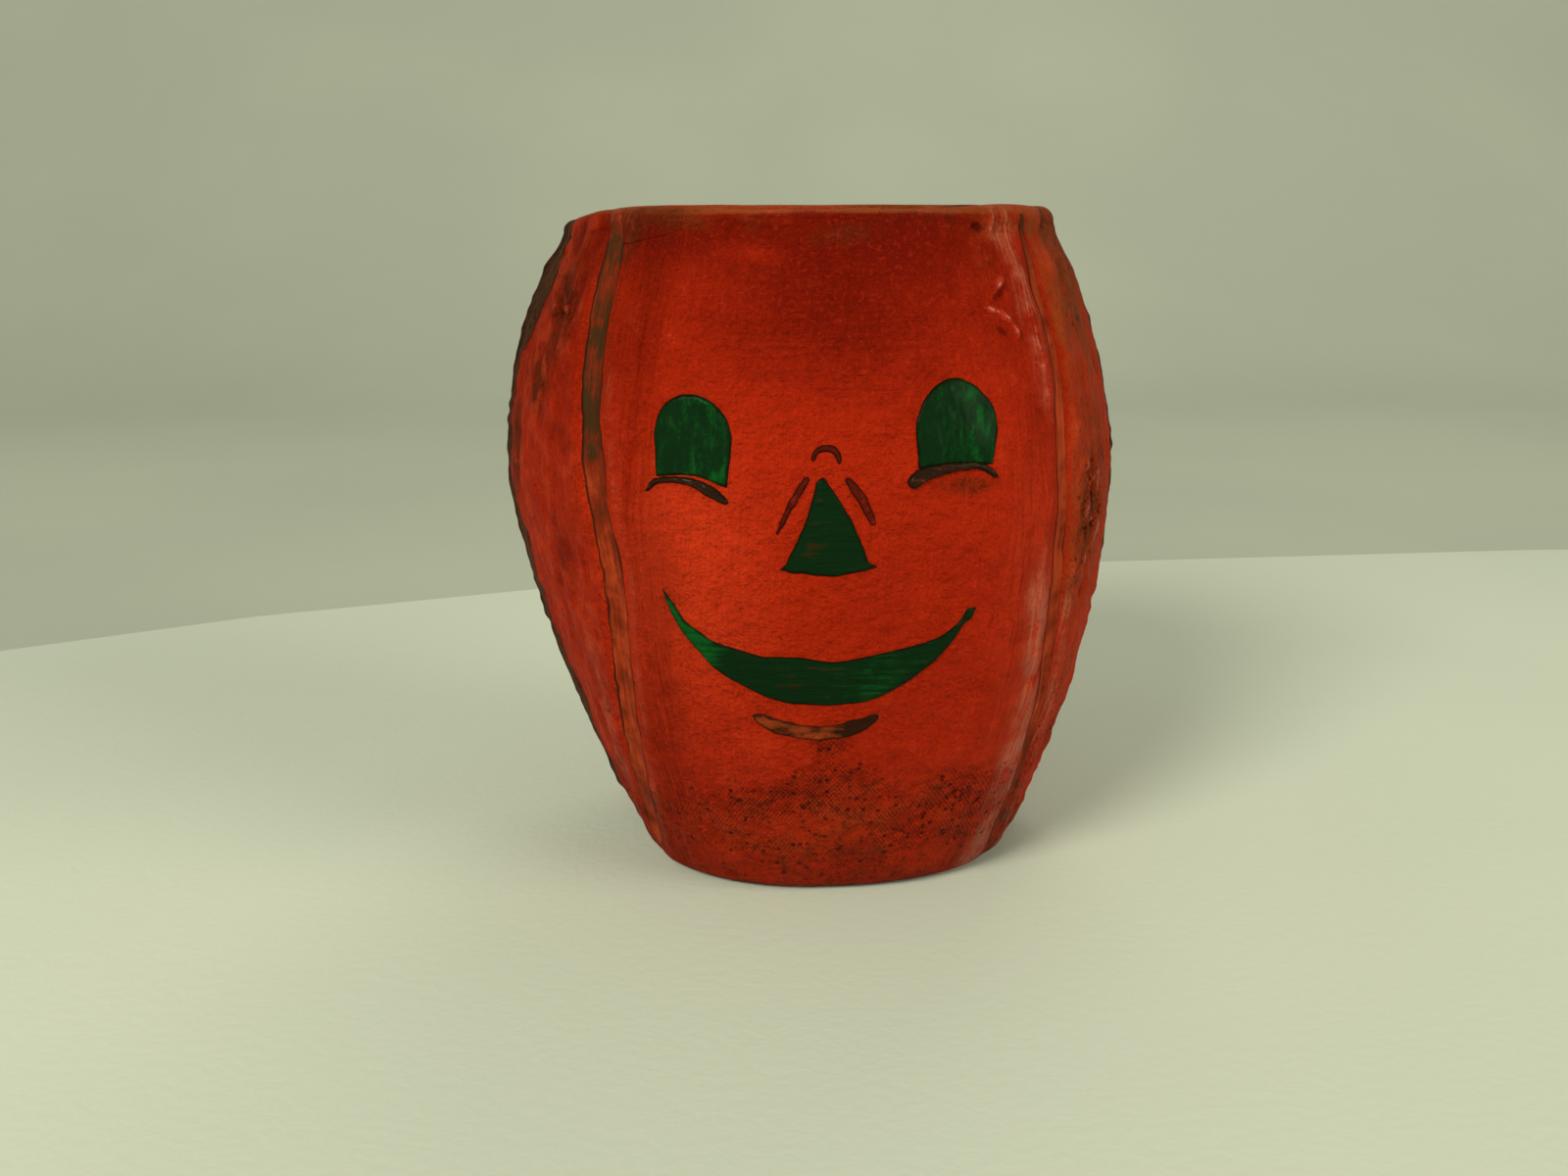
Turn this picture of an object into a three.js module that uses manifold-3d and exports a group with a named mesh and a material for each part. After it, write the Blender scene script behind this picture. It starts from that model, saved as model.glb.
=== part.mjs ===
import * as THREE from 'three';
import { LoftGeometry } from 'three/addons/geometries/LoftGeometry.js';
import { mergeVertices } from 'three/addons/utils/BufferGeometryUtils.js';
import Module from 'manifold-3d';

// A papier-mache pumpkin nut cup: two pulp half shells, a base disc, paper strips pasted
// over the joints and the rim, and a painted face.
// Millimetres, +Z up. The cup stands on z = 0 and its face looks along -Y.

// Body
const CUP_HEIGHT = 66;
const BELLY_HEIGHT = 40;
const BELLY_HALF_WIDTH = 30.9;
const BELLY_HALF_DEPTH = 29.2;
const FOOT_HALF_WIDTH_LEFT = 18.4;
const FOOT_HALF_WIDTH_RIGHT = 22;
const FOOT_HALF_DEPTH = 18.2;
const RIM_HALF_WIDTH_LEFT = 24;
const RIM_HALF_WIDTH_RIGHT = 23.4;
const RIM_HALF_DEPTH = 22.6;
const WALL = 2.2;
const FOOT_ROUNDING = 1.5;
const BASE_THICKNESS = 1.8;
const BASE_CLEARANCE = 0.1;
const JOINT_GAP = 0.1;
const LEFT_JOINT_SAG = 1.3;

// How full the sides are: 1 is a straight taper, more is rounder
const LOWER_FULLNESS_LEFT = 1.45;
const LOWER_FULLNESS_RIGHT = 2.2;
const LOWER_FULLNESS_DEPTH = 1.9;
const UPPER_FULLNESS_LEFT = 2.1;
const UPPER_FULLNESS_RIGHT = 1.7;
const UPPER_FULLNESS_DEPTH = 1.6;
const PLAN_SQUARENESS = 2.2;

// Pumpkin grooves: their angles from the middle of the face, at shares of the cup's height
const GROOVE_STATIONS = [0, 0.15, 0.3, 0.5, 0.65, 0.8, 1];
const LEFT_GROOVE_ANGLES = [59.5, 50.6, 44.7, 41.2, 43.7, 47.4, 48.5];
const RIGHT_GROOVE_ANGLES = [55, 52, 48.6, 45.7, 45.5, 47.5, 46];
const GROOVE_HALF_WIDTH = 2.6;
const GROOVE_DEPTH = 1.1;
const GROOVE_SHARPNESS = 1.5;
const GROOVE_FADE = 6;
const GROOVE_SHARE_AT_FOOT = 0.35;
const INNER_GROOVE_DEPTH = 0.6;

// How far the side panels are pressed flat, so that they meet in a ridge at the joint
const BELLY_FLATTENING = 1.5;
const END_FLATTENING = 0.7;

// Pasted paper
const PASTE_GAP = 0.05;
const RIM_STRIP_THICKNESS = 0.4;
const RIM_STRIP_DROP = 2.6;
const SEAM_STRIP_THICKNESS = 0.4;
const SEAM_STRIP_WIDTH = 12;
const SEAM_STRIP_END_GAP = 0.3;

// Paint, laid on thickly
const PAINT_THICKNESS = 0.22;
const LID_THICKNESS = 0.6;
const LEFT_LINE_WIDTH = 2.8;
const RIGHT_LINE_WIDTH = 1.8;
const GROOVE_LINE_FOOT_GAP = 2.2;

// Fineness of the surface
const PANEL_STEPS = 6;
const SIDE_PANEL_STEPS = 5;
const FOOT_STEPS = 2;
const OUTER_STEPS = 14;
const INNER_STEPS = 8;
const RIM_STEPS = 4;
const SKIRT_STEPS = 2;
const LINE_STEPS = 9;
const CURVE_STEPS = 10;

// How far the cutting slabs reach to each side of the outer face
const SLAB_REACH = 4;

const wasm = await Module();
wasm.setup();

const DEGREE = Math.PI / 180;
const pulpTop = CUP_HEIGHT - RIM_STRIP_THICKNESS - PASTE_GAP;
const rimCentre = pulpTop - WALL / 2;
const skirtBottom = CUP_HEIGHT - RIM_STRIP_DROP;

function steps(from, to, count) {
  return Array.from({ length: count + 1 }, (_, i) => from + (to - from) * i / count);
}

// A value that runs from foot to belly to rim, bent towards the belly by the powers
function barrel(z, foot, belly, rim, lowerPower, upperPower) {
  if (z < BELLY_HEIGHT) {
    const share = (BELLY_HEIGHT - z) / BELLY_HEIGHT;
    return belly + (foot - belly) * share ** lowerPower;
  }
  const share = (z - BELLY_HEIGHT) / (pulpTop - BELLY_HEIGHT);
  return belly + (rim - belly) * share ** upperPower;
}

function grooveCourse(angles) {
  return new THREE.CubicInterpolant(GROOVE_STATIONS, angles, 1);
}

const leftGroove = grooveCourse(LEFT_GROOVE_ANGLES);
const rightGroove = grooveCourse(RIGHT_GROOVE_ANGLES);

// Angle of the groove from the middle of the face, on the left or the right side
function grooveAngle(z, isLeft) {
  const course = isLeft ? leftGroove : rightGroove;
  return DEGREE * course.evaluate(z / CUP_HEIGHT)[0];
}

// Radius of the plain body, before the grooves, at an angle and a height
function bodyRadius(angle, z) {
  const isLeft = Math.sin(angle) < 0;
  const foot = isLeft ? FOOT_HALF_WIDTH_LEFT : FOOT_HALF_WIDTH_RIGHT;
  const lower = isLeft ? LOWER_FULLNESS_LEFT : LOWER_FULLNESS_RIGHT;
  const upper = isLeft ? UPPER_FULLNESS_LEFT : UPPER_FULLNESS_RIGHT;
  const rim = isLeft ? RIM_HALF_WIDTH_LEFT : RIM_HALF_WIDTH_RIGHT;
  const halfWidth = barrel(z, foot, BELLY_HALF_WIDTH, rim, lower, upper);
  const halfDepth = barrel(z, FOOT_HALF_DEPTH, BELLY_HALF_DEPTH, RIM_HALF_DEPTH,
    LOWER_FULLNESS_DEPTH, UPPER_FULLNESS_DEPTH);
  const across = Math.abs(Math.sin(angle)) / halfWidth;
  const along = Math.abs(Math.cos(angle)) / halfDepth;
  return (across ** PLAN_SQUARENESS + along ** PLAN_SQUARENESS) ** (-1 / PLAN_SQUARENESS);
}

// The angle folded into the front quarter, because the rear mirrors the front
function foldedAngle(angle) {
  return Math.atan2(Math.abs(Math.sin(angle)), Math.abs(Math.cos(angle)));
}

// 1 in the bottom of a groove, 0 outside it; shallow near the foot, gone at the rim
function grooveShare(angle, z) {
  const centre = grooveAngle(z, Math.sin(angle) < 0);
  const distance = Math.abs(foldedAngle(angle) - centre) * bodyRadius(angle, z);
  const share = Math.max(0, 1 - distance / GROOVE_HALF_WIDTH);
  const rimFade = THREE.MathUtils.smoothstep(rimCentre - z, 0, GROOVE_FADE);
  const aboveFoot = THREE.MathUtils.smoothstep(z, 0, GROOVE_FADE);
  const footFade = THREE.MathUtils.lerp(GROOVE_SHARE_AT_FOOT, 1, aboveFoot);
  return share ** GROOVE_SHARPNESS * rimFade * footFade;
}

// How far the flat side panel, from groove to joint, lies inside the round body
function panelFlattening(angle, z) {
  const groove = grooveAngle(z, Math.sin(angle) < 0);
  const share = Math.max(0, (foldedAngle(angle) - groove) / (Math.PI / 2 - groove));
  const depth = barrel(z, END_FLATTENING, BELLY_FLATTENING, END_FLATTENING, 2, 2);
  return depth * Math.sin(Math.PI * share);
}

function outerRadius(angle, z) {
  return bodyRadius(angle, z) - panelFlattening(angle, z) - GROOVE_DEPTH * grooveShare(angle, z);
}

function innerRadius(angle, z) {
  const relief = panelFlattening(angle, z) + INNER_GROOVE_DEPTH * grooveShare(angle, z);
  return bodyRadius(angle, z) - WALL - relief;
}

// The rim sags a little over the left joint
function sag(angle, z) {
  const nearLeftJoint = Math.max(0, -Math.sin(angle)) ** 10;
  return LEFT_JOINT_SAG * nearLeftJoint * (z / CUP_HEIGHT) ** 8;
}

function onCup(angle, radius, z) {
  const x = radius * Math.sin(angle);
  const y = -radius * Math.cos(angle);
  return new THREE.Vector3(x, y, z - sag(angle, z));
}

// Angles of one front quarter, from the middle of the face to the side joint
function quarterAngles(z, isLeft) {
  const groove = grooveAngle(z, isLeft);
  const halfGroove = GROOVE_HALF_WIDTH / bodyRadius(isLeft ? -groove : groove, z);
  return [
    ...steps(0, groove - halfGroove, PANEL_STEPS),
    groove - halfGroove / 2,
    groove,
    groove + halfGroove / 2,
    ...steps(groove + halfGroove, Math.PI / 2, SIDE_PANEL_STEPS),
  ];
}

// Angles of the front half, from the left joint to the right one, or of the rear half
function halfAngles(z, isFront) {
  const left = quarterAngles(z, true).reverse().map((angle) => -angle);
  const right = quarterAngles(z, false).slice(1);
  const front = [...left, ...right];
  return isFront ? front : front.reverse().map((angle) => Math.PI - angle);
}

function ringAngles(z) {
  return [...halfAngles(z, true), ...halfAngles(z, false).slice(1, -1)];
}

// Heights of the band under the rim that the rim strip covers
function skirtHeights() {
  return steps(skirtBottom, rimCentre, SKIRT_STEPS);
}

// Heights of the outer face, with the rounded foot first
function outerHeights() {
  const foot = steps(0, Math.PI / 2, FOOT_STEPS).map((turn) => FOOT_ROUNDING * (1 - Math.cos(turn)));
  const side = steps(FOOT_ROUNDING, skirtBottom, OUTER_STEPS);
  return [...foot.slice(0, -1), ...side.slice(0, -1), ...skirtHeights()];
}

// Heights of the inner face, from the rim down past the base disc
function innerHeights() {
  const side = steps(skirtBottom, BASE_THICKNESS, INNER_STEPS);
  return [...skirtHeights().reverse(), ...side.slice(1), 0];
}

function footInset(z) {
  if (z >= FOOT_ROUNDING) return 0;
  const height = 1 - z / FOOT_ROUNDING;
  return FOOT_ROUNDING * (1 - Math.sqrt(1 - height * height));
}

// One upright line of points over the wall: up the outside, over the rim, down the inside.
// The line is named by its place in a list of angles, and grow moves it off the wall.
function wallLine(anglesAt, index, outer, inner, grow) {
  const up = outer.map((z) => {
    const angle = anglesAt(z)[index];
    return onCup(angle, outerRadius(angle, z) - footInset(z) + grow, z);
  });
  const topAngle = anglesAt(rimCentre)[index];
  const middle = outerRadius(topAngle, rimCentre) - WALL / 2;
  const over = steps(0, Math.PI, RIM_STEPS).slice(1, -1).map((turn) => {
    const reach = WALL / 2 + grow;
    return onCup(topAngle, middle + reach * Math.cos(turn), rimCentre + reach * Math.sin(turn));
  });
  const down = inner.map((z) => {
    const angle = anglesAt(z)[index];
    return onCup(angle, innerRadius(angle, z) - grow, z);
  });
  return [...up, ...over, ...down];
}

function halfShell(isFront) {
  const anglesAt = (z) => halfAngles(z, isFront);
  const last = anglesAt(0).length - 1;
  const sections = anglesAt(0).map((_, index) => {
    const line = wallLine(anglesAt, index, outerHeights(), innerHeights(), 0);
    if (index === 0 || index === last) {
      line.forEach((point) => { point.y = (isFront ? -JOINT_GAP : JOINT_GAP) / 2; });
    }
    return line.reverse();
  });
  return new LoftGeometry(sections, { capStart: true, capEnd: true });
}

// A hollow ring all the way round the cup, from one closed upright section at each angle
function fullRing(sectionAt) {
  const count = ringAngles(0).length;
  const sections = steps(0, count, count).map((i) => sectionAt(i % count));
  return new LoftGeometry(sections);
}

function rimStrip() {
  const outer = skirtHeights();
  const inner = skirtHeights().reverse();
  return fullRing((index) => {
    const outside = wallLine(ringAngles, index, outer, inner, PASTE_GAP + RIM_STRIP_THICKNESS);
    const underside = wallLine(ringAngles, index, outer, inner, PASTE_GAP);
    return [...underside, ...outside.reverse()];
  });
}

function baseDisc() {
  const rings = [0, BASE_THICKNESS].map((z) => ringAngles(z).map((angle) => (
    onCup(angle, innerRadius(angle, z) - BASE_CLEARANCE, z)
  )));
  return new LoftGeometry(rings, { capStart: true, capEnd: true });
}

function toSolid(geometry) {
  const bare = new THREE.BufferGeometry();
  bare.setAttribute('position', geometry.attributes.position);
  bare.setIndex(geometry.index);
  const merged = mergeVertices(bare, 1e-5);
  const mesh = new wasm.Mesh({
    numProp: 3,
    vertProperties: merged.attributes.position.array,
    triVerts: Uint32Array.from(merged.index.array),
  });
  return new wasm.Manifold(mesh);
}

function toGeometry(solid) {
  const mesh = solid.getMesh();
  const geometry = new THREE.BufferGeometry();
  geometry.setAttribute('position', new THREE.BufferAttribute(mesh.vertProperties, 3));
  geometry.setIndex(new THREE.BufferAttribute(mesh.triVerts, 1));
  geometry.computeVertexNormals();
  return geometry;
}

// A block that fills the hollow to the middle of the wall
function hollowFilling() {
  const rings = outerHeights().map((z) => ringAngles(z).map((angle) => (
    onCup(angle, outerRadius(angle, z) - footInset(z) - WALL / 2, z)
  )));
  return toSolid(new LoftGeometry(rings, { capStart: true, capEnd: true }));
}

const filling = hollowFilling();

// The filled form of the cup, with its wall grown by a thickness
function grownForm(grow) {
  const wall = fullRing((index) => (
    wallLine(ringAngles, index, outerHeights(), innerHeights(), grow).reverse()
  ));
  return toSolid(wall).add(filling);
}

const pasteForm = grownForm(PASTE_GAP);

// A layer of even thickness that lies on the outside of the cup, kept inside the cutter
function layer(cutter, thickness) {
  const grown = grownForm(PASTE_GAP + thickness);
  return toGeometry(grown.intersect(cutter).subtract(pasteForm));
}

// An upright slab through the wall that follows a line of angles, with its width in angle
function uprightSlab(angleAt, spreadAt, bottom, top) {
  const rings = steps(bottom, top, LINE_STEPS).map((z) => {
    const angle = angleAt(z);
    const inside = outerRadius(angle, z) - SLAB_REACH;
    const outside = outerRadius(angle, z) + SLAB_REACH;
    const left = angle - spreadAt(z) / 2;
    const right = angle + spreadAt(z) / 2;
    return [onCup(left, inside, z), onCup(left, outside, z),
      onCup(right, outside, z), onCup(right, inside, z)];
  });
  return toSolid(new LoftGeometry(rings, { capStart: true, capEnd: true }));
}

function grooveLine(isLeft, isFront) {
  const angleAt = (z) => {
    const angle = grooveAngle(z, isLeft) * (isLeft ? -1 : 1);
    return isFront ? angle : Math.PI - angle;
  };
  const width = isLeft ? LEFT_LINE_WIDTH : RIGHT_LINE_WIDTH;
  const spreadAt = (z) => width / outerRadius(angleAt(z), z);
  const top = skirtBottom - SEAM_STRIP_END_GAP;
  return layer(uprightSlab(angleAt, spreadAt, GROOVE_LINE_FOOT_GAP, top), PAINT_THICKNESS);
}

// A seam strip keeps the same share of the turn, so it narrows towards foot and rim
function seamStrip(isLeft) {
  const angleAt = () => (isLeft ? -Math.PI / 2 : Math.PI / 2);
  const spreadAt = () => SEAM_STRIP_WIDTH / BELLY_HALF_WIDTH;
  const bottom = FOOT_ROUNDING + SEAM_STRIP_END_GAP;
  const top = skirtBottom - SEAM_STRIP_END_GAP;
  return layer(uprightSlab(angleAt, spreadAt, bottom, top), SEAM_STRIP_THICKNESS);
}

// A front-view outline pushed straight back through the front wall
function facePrism(shape) {
  const geometry = new THREE.ExtrudeGeometry(shape, {
    depth: BELLY_HALF_DEPTH * 2,
    bevelEnabled: false,
    curveSegments: CURVE_STEPS,
  });
  return toSolid(geometry.rotateX(Math.PI / 2));
}

// A brush stroke through points (x, z), with a width at each point
function brushStroke(points, widths) {
  const path = new THREE.SplineCurve(points.map(([x, z]) => new THREE.Vector2(x, z)));
  const edge = (side) => steps(0, 1, CURVE_STEPS).map((t) => {
    const place = t * (widths.length - 1);
    const before = Math.min(Math.floor(place), widths.length - 2);
    const width = THREE.MathUtils.lerp(widths[before], widths[before + 1], place - before);
    const tangent = path.getTangent(t);
    const normal = new THREE.Vector2(-tangent.y, tangent.x);
    return path.getPoint(t).addScaledVector(normal, side * width / 2);
  });
  return new THREE.Shape([...edge(-1), ...edge(1).reverse()]);
}

// A tall arch: an arched foot, nearly upright sides, and a rounded top over its spring.
// The corners are points (x, z), and the handles shape the shoulders beside the top.
function archShape({ footLeft, footMiddle, footRight, right, top, left, topHandle, sideHandle }) {
  const shape = new THREE.Shape();
  shape.moveTo(...footLeft);
  shape.quadraticCurveTo(...footMiddle, ...footRight);
  shape.lineTo(...right);
  shape.bezierCurveTo(right[0], right[1] + sideHandle, top[0] + topHandle, top[1], ...top);
  shape.bezierCurveTo(top[0] - topHandle, top[1], left[0], left[1] + sideHandle, ...left);
  return shape;
}

const LEFT_EYE = {
  footLeft: [-15.3, 43.4], footMiddle: [-12.15, 43.9], footRight: [-9.25, 42.5],
  right: [-8.8, 46.7], top: [-12.3, 50.4], left: [-15.5, 46.7],
  topHandle: 2, sideHandle: 2,
};
const RIGHT_EYE = {
  footLeft: [7.25, 44.2], footMiddle: [10.75, 44.8], footRight: [14, 44.2],
  right: [14.45, 47.3], top: [10.4, 51.7], left: [7.05, 47.3],
  topHandle: 1.6, sideHandle: 2.6,
};

const LEFT_LID = {
  points: [[-16.3, 42.0], [-15.2, 43.0], [-12.7, 43.1], [-10.9, 42.4], [-9.2, 41.3]],
  widths: [0.45, 0.6, 0.6, 0.9, 0.5],
};
const RIGHT_LID = {
  points: [[6.4, 42.7], [7.8, 43.7], [10.6, 44.2], [12.9, 44.1], [14.5, 43.1]],
  widths: [1.1, 1.1, 0.8, 0.6, 0.5],
};
const NOSE_BRIDGE = {
  points: [[-2.0, 45.0], [-1.6, 45.8], [-0.7, 46.1], [0.1, 45.7], [0.4, 44.7]],
  widths: [0.35, 0.5, 0.55, 0.6, 0.35],
};
const LEFT_NOSE_LINE = {
  points: [[-2.3, 43.7], [-3.6, 41.7], [-5.0, 38.7]],
  widths: [0.5, 0.6, 0.3],
};
const RIGHT_NOSE_LINE = {
  points: [[0.9, 43.6], [2.3, 41.7], [3.4, 39.4]],
  widths: [0.6, 0.85, 0.6],
};
const CHIN_LINE = {
  points: [[-7.1, 21.2], [-4.4, 20.0], [-1.0, 19.5], [2.0, 20.0], [4.4, 21.2]],
  widths: [1.0, 1.6, 1.4, 1.6, 0.7],
};

const NOSE = { left: -4.8, right: 3.3, apexX: -1.1, apex: 43.8, foot: 35.5, sag: 0.9, blunt: 0.5 };
const MOUTH_UPPER = [[-15, 33.2], [-11.6, 29.2], [-6.3, 27.4], [0, 27], [6.9, 28], [11.2, 29.9]];
const MOUTH_TIP = [12.8, 31.2];
const MOUTH_LOWER = [[10.6, 28], [6.6, 24.5], [0.4, 22.5], [-4.6, 22.7], [-10.3, 25.5], [-13.7, 29.6]];

function noseShape({ left, right, apexX, apex, foot, sag, blunt }) {
  const shape = new THREE.Shape();
  shape.moveTo(left, foot);
  shape.quadraticCurveTo((left + right) / 2, foot - sag, right, foot);
  shape.quadraticCurveTo((right + apexX) / 2 + blunt, (foot + apex) / 2, apexX + blunt, apex - blunt);
  shape.quadraticCurveTo(apexX, apex + blunt / 2, apexX - blunt, apex - blunt);
  shape.quadraticCurveTo((left + apexX) / 2 + blunt, (foot + apex) / 2, left, foot);
  return shape;
}

function mouthShape() {
  const toPoint = ([x, z]) => new THREE.Vector2(x, z);
  const upper = new THREE.SplineCurve([...MOUTH_UPPER, MOUTH_TIP].map(toPoint));
  const lower = new THREE.SplineCurve([MOUTH_TIP, ...MOUTH_LOWER, MOUTH_UPPER[0]].map(toPoint));
  const outline = [...upper.getPoints(CURVE_STEPS * 2), ...lower.getPoints(CURVE_STEPS * 2).slice(1, -1)];
  return new THREE.Shape(outline);
}

function paintedStroke({ points, widths }, thickness) {
  return layer(facePrism(brushStroke(points, widths)), thickness);
}

// An eye ends where the thick lid line starts
function eye(arch, lid) {
  const room = lid.widths.map((width) => width + PASTE_GAP * 2);
  const lidCutter = facePrism(brushStroke(lid.points, room));
  return layer(facePrism(archShape(arch)).subtract(lidCutter), PAINT_THICKNESS);
}

const ORANGE = { color: '#bd3a14', roughness: 0.55, metalness: 0 };
const ORANGE_PAPER = { color: '#a8401c', roughness: 0.6, metalness: 0 };
const PULP = { color: '#9c8467', roughness: 0.95, metalness: 0 };
const GREEN = { color: '#0d3f18', roughness: 0.45, metalness: 0 };
const BROWN = { color: '#4a2412', roughness: 0.6, metalness: 0 };
const OLIVE = { color: '#6b3a1a', roughness: 0.65, metalness: 0 };

const cup = new THREE.Group();

function add(name, geometry, finish) {
  const mesh = new THREE.Mesh(geometry, new THREE.MeshStandardMaterial(finish));
  mesh.name = name;
  cup.add(mesh);
}

add('front_half_shell', halfShell(true), ORANGE);
add('rear_half_shell', halfShell(false), ORANGE);
add('base_disc', baseDisc(), PULP);
add('rim_strip', rimStrip(), ORANGE_PAPER);
add('left_seam_strip', seamStrip(true), ORANGE_PAPER);
add('right_seam_strip', seamStrip(false), ORANGE_PAPER);

add('front_left_groove_line', grooveLine(true, true), OLIVE);
add('front_right_groove_line', grooveLine(false, true), OLIVE);
add('rear_left_groove_line', grooveLine(true, false), OLIVE);
add('rear_right_groove_line', grooveLine(false, false), OLIVE);

add('left_eye', eye(LEFT_EYE, LEFT_LID), GREEN);
add('right_eye', eye(RIGHT_EYE, RIGHT_LID), GREEN);
add('left_lid', paintedStroke(LEFT_LID, LID_THICKNESS), BROWN);
add('right_lid', paintedStroke(RIGHT_LID, LID_THICKNESS), BROWN);
add('nose', layer(facePrism(noseShape(NOSE)), PAINT_THICKNESS), GREEN);
add('nose_bridge_arc', paintedStroke(NOSE_BRIDGE, PAINT_THICKNESS), BROWN);
add('left_nose_line', paintedStroke(LEFT_NOSE_LINE, PAINT_THICKNESS), BROWN);
add('right_nose_line', paintedStroke(RIGHT_NOSE_LINE, PAINT_THICKNESS), BROWN);
add('mouth', layer(facePrism(mouthShape()), PAINT_THICKNESS), GREEN);
add('chin_line', paintedStroke(CHIN_LINE, PAINT_THICKNESS), BROWN);

export default cup;
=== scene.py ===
# %% [markdown]
# # A jack-o'-lantern nut cup of painted paper pulp
# The real cup is small enough to sit in a palm. Two half shells were pressed from wet
# paper pulp, glued together at the sides, and closed with a disc at the foot. Paper was
# pasted over the rim and over the two side joints, and the whole was painted by hand.
# Every step below builds one of those things over the measured solids, in millimetres,
# and turns them into metres only when a mesh is made.

import math

import bpy
import numpy as np
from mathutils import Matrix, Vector
from mathutils.geometry import delaunay_2d_cdt


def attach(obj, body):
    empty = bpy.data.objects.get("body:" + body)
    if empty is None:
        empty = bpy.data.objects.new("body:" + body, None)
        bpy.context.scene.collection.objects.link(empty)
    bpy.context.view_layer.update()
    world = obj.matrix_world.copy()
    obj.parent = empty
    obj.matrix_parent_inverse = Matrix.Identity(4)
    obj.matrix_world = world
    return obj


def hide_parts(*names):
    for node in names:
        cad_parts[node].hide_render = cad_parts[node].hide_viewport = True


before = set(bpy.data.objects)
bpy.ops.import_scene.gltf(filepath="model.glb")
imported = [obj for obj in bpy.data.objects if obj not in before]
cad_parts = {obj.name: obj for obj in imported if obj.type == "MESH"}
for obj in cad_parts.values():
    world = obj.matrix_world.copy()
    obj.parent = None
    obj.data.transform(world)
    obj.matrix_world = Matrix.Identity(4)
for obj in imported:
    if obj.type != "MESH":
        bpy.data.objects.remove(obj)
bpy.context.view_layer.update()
MM = 0.001


def add_object(name, data):
    """Puts new data into the scene as an object at the origin."""
    piece = bpy.data.objects.new(name, data)
    bpy.context.scene.collection.objects.link(piece)
    return piece


# %% [markdown]
# ## The camera
# The photograph was taken from a hand's length away, with the lens a little above the
# rim and tipped down, so the foot looks smaller than the mouth. The place and the angle
# below come from fitting a camera to the cup's ellipses. The camera stands a little to
# the left of the face, turned three degrees towards it.

# %% Place the camera
CAMERA_PLACE = (-11.09, -156.63, 67.0)
CAMERA_TURN = math.radians(3)
CAMERA_PITCH = math.radians(14.5)
FOCAL_PIXELS = 1550
PHOTO_WIDTH = 1600
SENSOR_WIDTH = 36.0
NEAR_LIMIT = 0.01


def place_camera():
    lens = bpy.data.cameras.new("photo_lens")
    lens.sensor_width = SENSOR_WIDTH
    lens.lens = SENSOR_WIDTH * FOCAL_PIXELS / PHOTO_WIDTH
    lens.clip_start = NEAR_LIMIT
    camera = add_object("photo_camera", lens)
    turn, level = CAMERA_TURN, math.cos(CAMERA_PITCH)
    aim = Vector((level * math.sin(turn), level * math.cos(turn), -math.sin(CAMERA_PITCH)))
    camera.location = Vector(CAMERA_PLACE) * MM
    camera.rotation_euler = aim.to_track_quat("-Z", "Y").to_euler()
    bpy.context.scene.camera = camera
    return camera


print("camera lens in mm:", round(place_camera().data.lens, 2))

# %% [markdown]
# ## The rule of the cup's form
# Seen from the front, the cup is a barrel: it swells from the foot to the belly and
# closes again towards the rim, fuller on one side than on the other. Seen from above it
# is a rounded square whose side panels are pressed flat, so that they meet in a ridge at
# each joint. Four grooves wander down it, as on a pumpkin. One radius for each angle and
# height says all of this, and every skin of pulp, paper and paint below is laid on it.

# %% The cup's measures
CUP_HEIGHT = 66.0
BELLY_HEIGHT = 40.0
BELLY_HALF = (30.9, 29.2)
FOOT_HALF_LEFT, FOOT_HALF_RIGHT, FOOT_HALF_DEPTH = 18.4, 22.0, 18.2
RIM_HALF_LEFT, RIM_HALF_RIGHT, RIM_HALF_DEPTH = 24.0, 23.4, 22.6
LOWER_FULLNESS = (1.45, 2.2, 1.9)
UPPER_FULLNESS = (2.1, 1.7, 1.6)
SQUARENESS = 2.2
WALL = 2.2
FOOT_ROUNDING = 1.5
BASE_THICKNESS = 1.8
JOINT_GAP = 0.1
RIM_PAPER = 0.4
PASTE = 0.05
PULP_TOP = CUP_HEIGHT - RIM_PAPER - PASTE
RIM_CENTRE = PULP_TOP - WALL / 2
JOINT_SAG = 1.3

GROOVE_STATIONS = np.array([0, 0.15, 0.3, 0.5, 0.65, 0.8, 1])
LEFT_GROOVE = np.array([59.5, 50.6, 44.7, 41.2, 43.7, 47.4, 48.5])
RIGHT_GROOVE = np.array([55, 52, 48.6, 45.7, 45.5, 47.5, 46])
GROOVE_HALF_WIDTH = 2.6
GROOVE_DEPTH = 1.1
INNER_GROOVE_DEPTH = 0.6
GROOVE_FADE = 6.0
BELLY_FLATTENING = 1.5
END_FLATTENING = 0.7


def barrel(z, foot, belly, rim, lower, upper):
    below = np.clip((BELLY_HEIGHT - z) / BELLY_HEIGHT, 0, None)
    above = np.clip((z - BELLY_HEIGHT) / (PULP_TOP - BELLY_HEIGHT), 0, None)
    return belly + (foot - belly) * below ** lower + (rim - belly) * above ** upper


def ease(value, low, high):
    share = np.clip((value - low) / (high - low), 0, 1)
    return share * share * (3 - 2 * share)


print("belly width in mm:", 2 * BELLY_HALF[0])


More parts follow.
